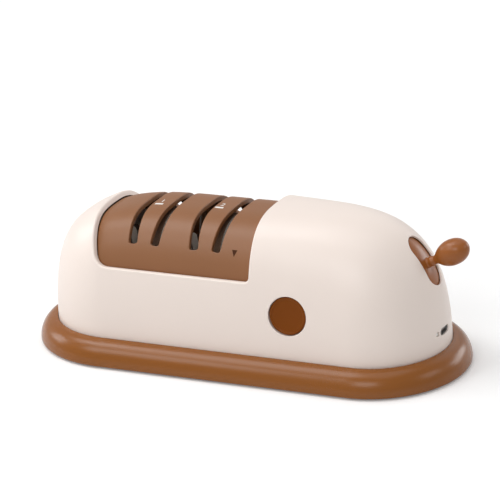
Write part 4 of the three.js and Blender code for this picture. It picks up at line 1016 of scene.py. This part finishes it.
def make_drive():
    wheel = mirrored([flank(HUB_RADIUS + 0.3), flank(WHEEL_RADIUS - WHEEL_EDGE), *[
        (WHEEL_RADIUS - WHEEL_EDGE * (1 - sin(a)), -WHEEL_RIM_HALF + WHEEL_EDGE * (1 - cos(a)))
        for a in (0.5, 1.0, pi / 2)]])
    hub = chamfered(BORE, HUB_RADIUS, -HUB_HALF, HUB_HALF, 0.5)
    for name, x, material, slot in (("coarse_wheel", PAIRS[0], COARSE_GRIT, "coarse_abrasive"),
                                    ("fine_wheel", PAIRS[1], FINE_GRIT, "fine_abrasive")):
        on_spindle(name, "_grit", wheel, material, x, slot, sides=96)
        on_spindle(name + "_hub", "_sleeve", hub, TURNED_BRASS, x, "turned_brass")
    races = mirrored([(BORE, -2.5), (4.1, -2.5), (4.3, -2.1), (6.6, -2.1), (6.8, -2.5), (7.7, -2.5), (8.0, -2.2)])
    for name in ("left_bearing", "right_bearing"):
        on_spindle(name, "_races", races, SHAFT_STEEL, sum(span_x(name)) / 2, "shaft_steel", "sharpener_body")
    for name in ("left_spacer", "middle_spacer", "right_spacer"):
        low, high = span_x(name)
        on_spindle(name, "_sleeve", chamfered(BORE, 4.8, 0, high - low, 0.3), SHAFT_STEEL, low, "shaft_steel")
    for name, radius in (("spindle", 2.5), ("motor_shaft", 1.6)):
        low, high = span_x(name)
        rod = chamfered(0, radius, 0, high - low, 0.4)[:-1]
        on_spindle(name, "_rod", rod, SHAFT_STEEL, low, "shaft_steel", sides=40)
    low, high = span_x("shaft_coupler")
    outer, groove, shaft, end = 6, 5.4, 1.9, high - low
    middle = end / 2 - 0.15
    coupler = [(BORE, 0), (5.5, 0), (outer, 0.5), (outer, middle - 0.8), (groove, middle - 0.5),
               (groove, middle + 0.5), (outer, middle + 0.8), (outer, end - 0.5), (5.5, end), (shaft, end),
               (shaft, middle + 0.3), (BORE, middle + 0.3), (BORE, 0)]
    on_spindle("shaft_coupler", "_sleeve", coupler, TURNED_BRASS, low, "turned_brass")


def make_motor():
    low, high = span_x("drive_motor")
    radius, boss, nose, shaft, crimp = 18.0, 6.0, 2.2, 1.9, 18.0 - 0.35
    length = high - low
    tail = length - nose
    section = [(0, 10.2), (shaft, 10.2), (shaft, 0), (boss - 0.4, 0), (boss, 0.4), (boss, nose),
               (radius - 2, nose), *arc((radius - 2, nose + 2), 2, -90, 0, 5), (radius, nose + 5),
               (crimp, nose + 5.3), (crimp, nose + 5.9), (radius, nose + 6.2), (radius, tail - 6.2),
               (crimp, tail - 5.9), (crimp, tail - 5.3), (radius, tail - 5),
               *arc((radius - 2, tail - 2), 2, 0, 90, 5), (boss, tail), (boss, length - 0.4),
               (boss - 0.4, length), (0, length)]
    on_spindle("drive_motor", "_can", section, MOTOR_CAN, low, "motor_can", "sharpener_body", sides=96)


def box_mm(name):
    """A node's corners in millimetres and its middle."""
    low, high = [np.array(corner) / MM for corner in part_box(name)]
    return low, high, (low + high) / 2


def make_cells():
    for name in ("battery_cell_1", "battery_cell_2"):
        low, high, middle = box_mm(name)
        length, radius = high[0] - low[0], (high[2] - low[2]) / 2
        cap = length - 1.2
        section = [(0, 0), (radius - 1.2, 0), *arc((radius - 0.8, 0.8), 0.8, -60, 0, 3), (radius, cap - 3),
                   (radius - 0.5, cap - 2.6), (radius, cap - 2.0), *arc((radius - 0.8, cap - 0.8), 0.8, 0, 90, 4),
                   (3.6, cap), (3.2, cap), (3.2, length - 0.3), (2.9, length), (0, length)]
        along_body(name, "_sleeve", section, CELL_SLEEVE, (low[0], *middle[1:]), "cell_sleeve")


# ---- charging socket and lamp

def pill(half_width, half_height, x, middle, count=48):
    """A round-ended ring across the nose, at a place along the body."""
    ring = []
    for a in [2 * pi * i / count for i in range(count)]:
        side = half_width - half_height if cos(a) >= 0 else half_height - half_width
        ring.append((x, middle[1] + side + half_height * cos(a), middle[2] + half_height * sin(a)))
    return ring


def make_port():
    low, high, middle = box_mm("usb_port")
    x0, x1 = low[0] - ROW_SHIFT, high[0] - ROW_SHIFT
    (half, tall), wall, edge = (high - low)[1:] / 2, 0.4, 0.15
    inner, inner_tall = half - wall, tall - wall
    can = [(half, tall, x0), (half, tall, x1 - edge), (half - edge, tall - edge, x1),
           (inner + 0.1, inner_tall + 0.1, x1), (inner, inner_tall, x1 - edge), (inner, inner_tall, x0 + 1.2)]
    half, tall = inner - 1.2, 0.35
    tongue = [(half, tall, x0 + 1.0), (half, tall, x1 - 1.0), (half - edge, tall - 0.12, x1 - 0.8)]
    # The can carries painted shade: its steel is darkened to stand for the shade in the port's hollow.
    for name, rings, material, slot in (("charging_socket_can", can, SHADE_DARKENED_SOCKET_STEEL, "socket_steel"),
                                        ("charging_socket_tongue", tongue, INNER_PLASTIC, "inner_plastic")):
        piece = ring_piece(name, [pill(*ring, middle) for ring in rings], material, 35)
        stand_for(piece, slot, "usb_port")


def make_lamp():
    low, high, middle = box_mm("charge_lamp")
    length, dome = high[0] - low[0], 0.5
    section = [(0, 0), (1.0, 0), (1.0, length - dome),
               *[(cos(a), length - dome + dome * sin(a)) for a in (0.4, 0.8, 1.2)], (0, length)]
    along_body("charge_lamp", "_lens", section, LAMP_LENS, (low[0], *middle[1:]), "lamp_lens", sides=40)


# ---- lever

LEVER_LENGTH, LEVER_RADIUS, LEVER_RISE = 25.7, 6.8, radians(28.4)
ROOT_DEPTH, ROOT_DROP, FINGER_HALF = 2.65, 1.9, 1.2


def nose_point(radius, angle, y):
    return np.array([NOSE_X + radius * cos(angle), y, NOSE_Z + radius * sin(angle)])


def knob_width(along):
    """Half width of the lever's knob by the share of its length: a beaded neck, then a blunt bud."""
    neck = 0.31 + 0.09 * exp(-((along - 0.14) / 0.04) ** 2) + 0.45 * exp(-along / 0.035)
    neck *= 1 - min(max((along - 0.24) / 0.14, 0), 1)
    share = max(along - 0.2, 0) / 0.8 - 0.53
    if share < 0:
        bud = (1 - (share / 0.53) ** 2) ** 0.75
    else:
        bud = max(1 - (share / 0.47) ** 2.3, 0) ** 0.55
    return (neck ** 4 + (0.99 * bud) ** 4) ** 0.25


def make_lever():
    outer, half, steps = NOSE_RADIUS - NOSE_WALL - SLIDE_GAP, NOSE_HALF_WIDTH + 2, 48
    inner, ys = outer - SLIDE_THICK, np.linspace(-half, half, 17)
    loops = []
    for i in range(steps + 1):
        angle = NOSE_ANGLE - SLIDE_REACH + 2 * SLIDE_REACH * i / steps
        loops.append([nose_point(radius - y * y / (2 * SLIDE_CROSS), angle, y)
                      for radius, row in ((outer, ys), (inner, ys[::-1])) for y in row])
    slide = ring_piece("lever_slide", loops, CARAMEL_LEVER, 40)
    root = nose_point(NOSE_RADIUS - ROOT_DEPTH, NOSE_ANGLE - ROOT_DROP / NOSE_RADIUS, 0)
    shares = [1 - (1 - i / 70) ** 1.6 for i in range(71)]
    section = [(0, 0), *[(knob_width(along) * LEVER_RADIUS, along * LEVER_LENGTH) for along in shares]]
    knob = turned("lever_knob", section, CARAMEL_LEVER, place=(root[0] + ROW_SHIFT, root[1], root[2]),
                  turn=(0, pi / 2 - LEVER_RISE, 0), sides=72, sharp=60)
    tangent, side = np.array([-sin(NOSE_ANGLE), 0, cos(NOSE_ANGLE)]), np.array([0, 1, 0])
    finger = [[nose_point(inner - depth, NOSE_ANGLE, 0) + (tangent * a + side * b) * FINGER_HALF
               for a, b in ((-1, -1), (1, -1), (1, 1), (-1, 1))] for depth in (-1.0, 6.5)]
    for piece in (slide, knob, ring_piece("lever_finger", finger, CARAMEL_LEVER, 30)):
        stand_for(piece, "lever_caramel", "switch_lever", body="switch_lever")


make_housing()
make_cover()
make_marks()
make_button()
make_base()
make_feet()
make_screws("housing_screw", HOUSING_SCREWS, HOUSING_SEAT, head_down=True)
make_screws("chassis_screw", CHASSIS_SCREWS, CHASSIS_SEAT)
make_screws("clamp_screw", CLAMP_SCREWS, CLAMP_SEAT)
make_drive()
make_motor()
make_cells()
make_port()
make_lamp()
make_lever()


# ---- floor, lamps and camera

ROOM_LIGHT, WHITE = 0.22, (1, 1, 1, 1)
FLOOR_HALF, FLOOR_GLOW, GLOW_START, GLOW_GROWTH = 3.0, 0.16, 0.15, 0.42


def seen_directly(tree):
    """1 for what the camera or clear plastic shows, less for reflections, and 0 for light on the object."""
    rays = node(tree, "LightPath")
    direct = rays["Is Camera Ray"].of("MAXIMUM", rays["Is Transmission Ray"])
    return direct.of("MAXIMUM", rays["Is Glossy Ray"] * 0.5)


def plain_stage():
    """A pale floor that keeps the shadow, in a white room that only the camera and reflections see."""
    material, tree, shader = new_material("pale_floor")
    place = node(tree, "TexCoord")["Object"]
    reach = length_of(place)
    lift = reach.of("SUBTRACT", GLOW_START, clamp=True) * GLOW_GROWTH + FLOOR_GLOW
    feed(shader, {
        "Base Color": (0.86, 0.86, 0.86, 1), "Roughness": 0.8, "Specular IOR Level": 0.2,
        "Emission Color": WHITE, "Emission Strength": lift * seen_directly(tree)})
    mesh = bpy.data.meshes.new("floor")
    corners = [(x * FLOOR_HALF, y * FLOOR_HALF, 0) for x, y in ((-1, -1), (1, -1), (1, 1), (-1, 1))]
    mesh.from_pydata(corners, [], [(0, 1, 2, 3)])
    mesh.materials.append(material)
    new_object("floor", mesh)
    world = bpy.data.worlds.new("studio")
    bpy.context.scene.world = world
    world.use_nodes = True
    tree = world.node_tree
    wash = seen_directly(tree) * (1.0 - ROOM_LIGHT) + ROOM_LIGHT
    feed(tree.nodes["Background"].inputs, {"Color": WHITE, "Strength": wash})


# Soft lamps turned towards the object: place and size in metres, and power.
LAMPS = {
    "overhead": ((0.05, 0, 1.1), (0.9, 0.9), 2.8),
    "over_left": ((-0.38, -0.18, 0.98), (0.55, 0.5), 2.8),
    "high_left": ((-0.68, -0.05, 0.86), (0.4, 0.35), 1.4),
    "front_left": ((-0.6, -0.75, 0.8), (0.5, 0.4), 2.4),
    "front": ((0.15, -1.0, 0.7), (0.6, 0.4), 3.0),
    "left": ((-1.15, 0, 0.45), (0.4, 0.4), 2.2),
    "behind": ((0.2, 1.0, 0.75), (1.0, 0.7), 0.9),
    "right": ((0.95, 0.12, 0.5), (0.4, 0.3), 0.8),
    "rear_right": ((0.62, 0.85, 0.28), (0.6, 0.3), 2.2),
}
AIM = Vector((0, 0, 0.04))


def lamp(name, place, size, power):
    data = bpy.data.lights.new(name, "AREA")
    data.shape, data.energy = "RECTANGLE", power
    data.size, data.size_y = size
    thing = new_object(name, data)
    thing.location = place
    thing.rotation_euler = (AIM - Vector(place)).to_track_quat("-Z", "Y").to_euler()
    thing.visible_camera = False


CAMERA_PLACE = (553.051 + ROW_SHIFT, -1196.203, 537.037)
AZIMUTH, ELEVATION, ROLL = radians(24.76), radians(20.095), radians(-3.013)
SENSOR, FOCAL_PIXELS, PICTURE_PIXELS = 36.0, 2680.778, 500


def camera():
    data = bpy.data.cameras.new("camera")
    data.sensor_width = SENSOR
    data.lens = FOCAL_PIXELS / PICTURE_PIXELS * SENSOR
    data.clip_end = 20.0
    thing = new_object("camera", data)
    thing.matrix_world = Matrix.Translation(Vector(CAMERA_PLACE) * MM)
    for angle, axis in ((AZIMUTH, "Z"), (pi / 2 - ELEVATION, "X"), (ROLL, "Z")):
        thing.matrix_world @= Matrix.Rotation(angle, 4, axis)
    bpy.context.scene.camera = thing


plain_stage()
for name, values in LAMPS.items():
    lamp(name, *values)
camera()
bpy.context.scene.view_settings.view_transform = "Standard"
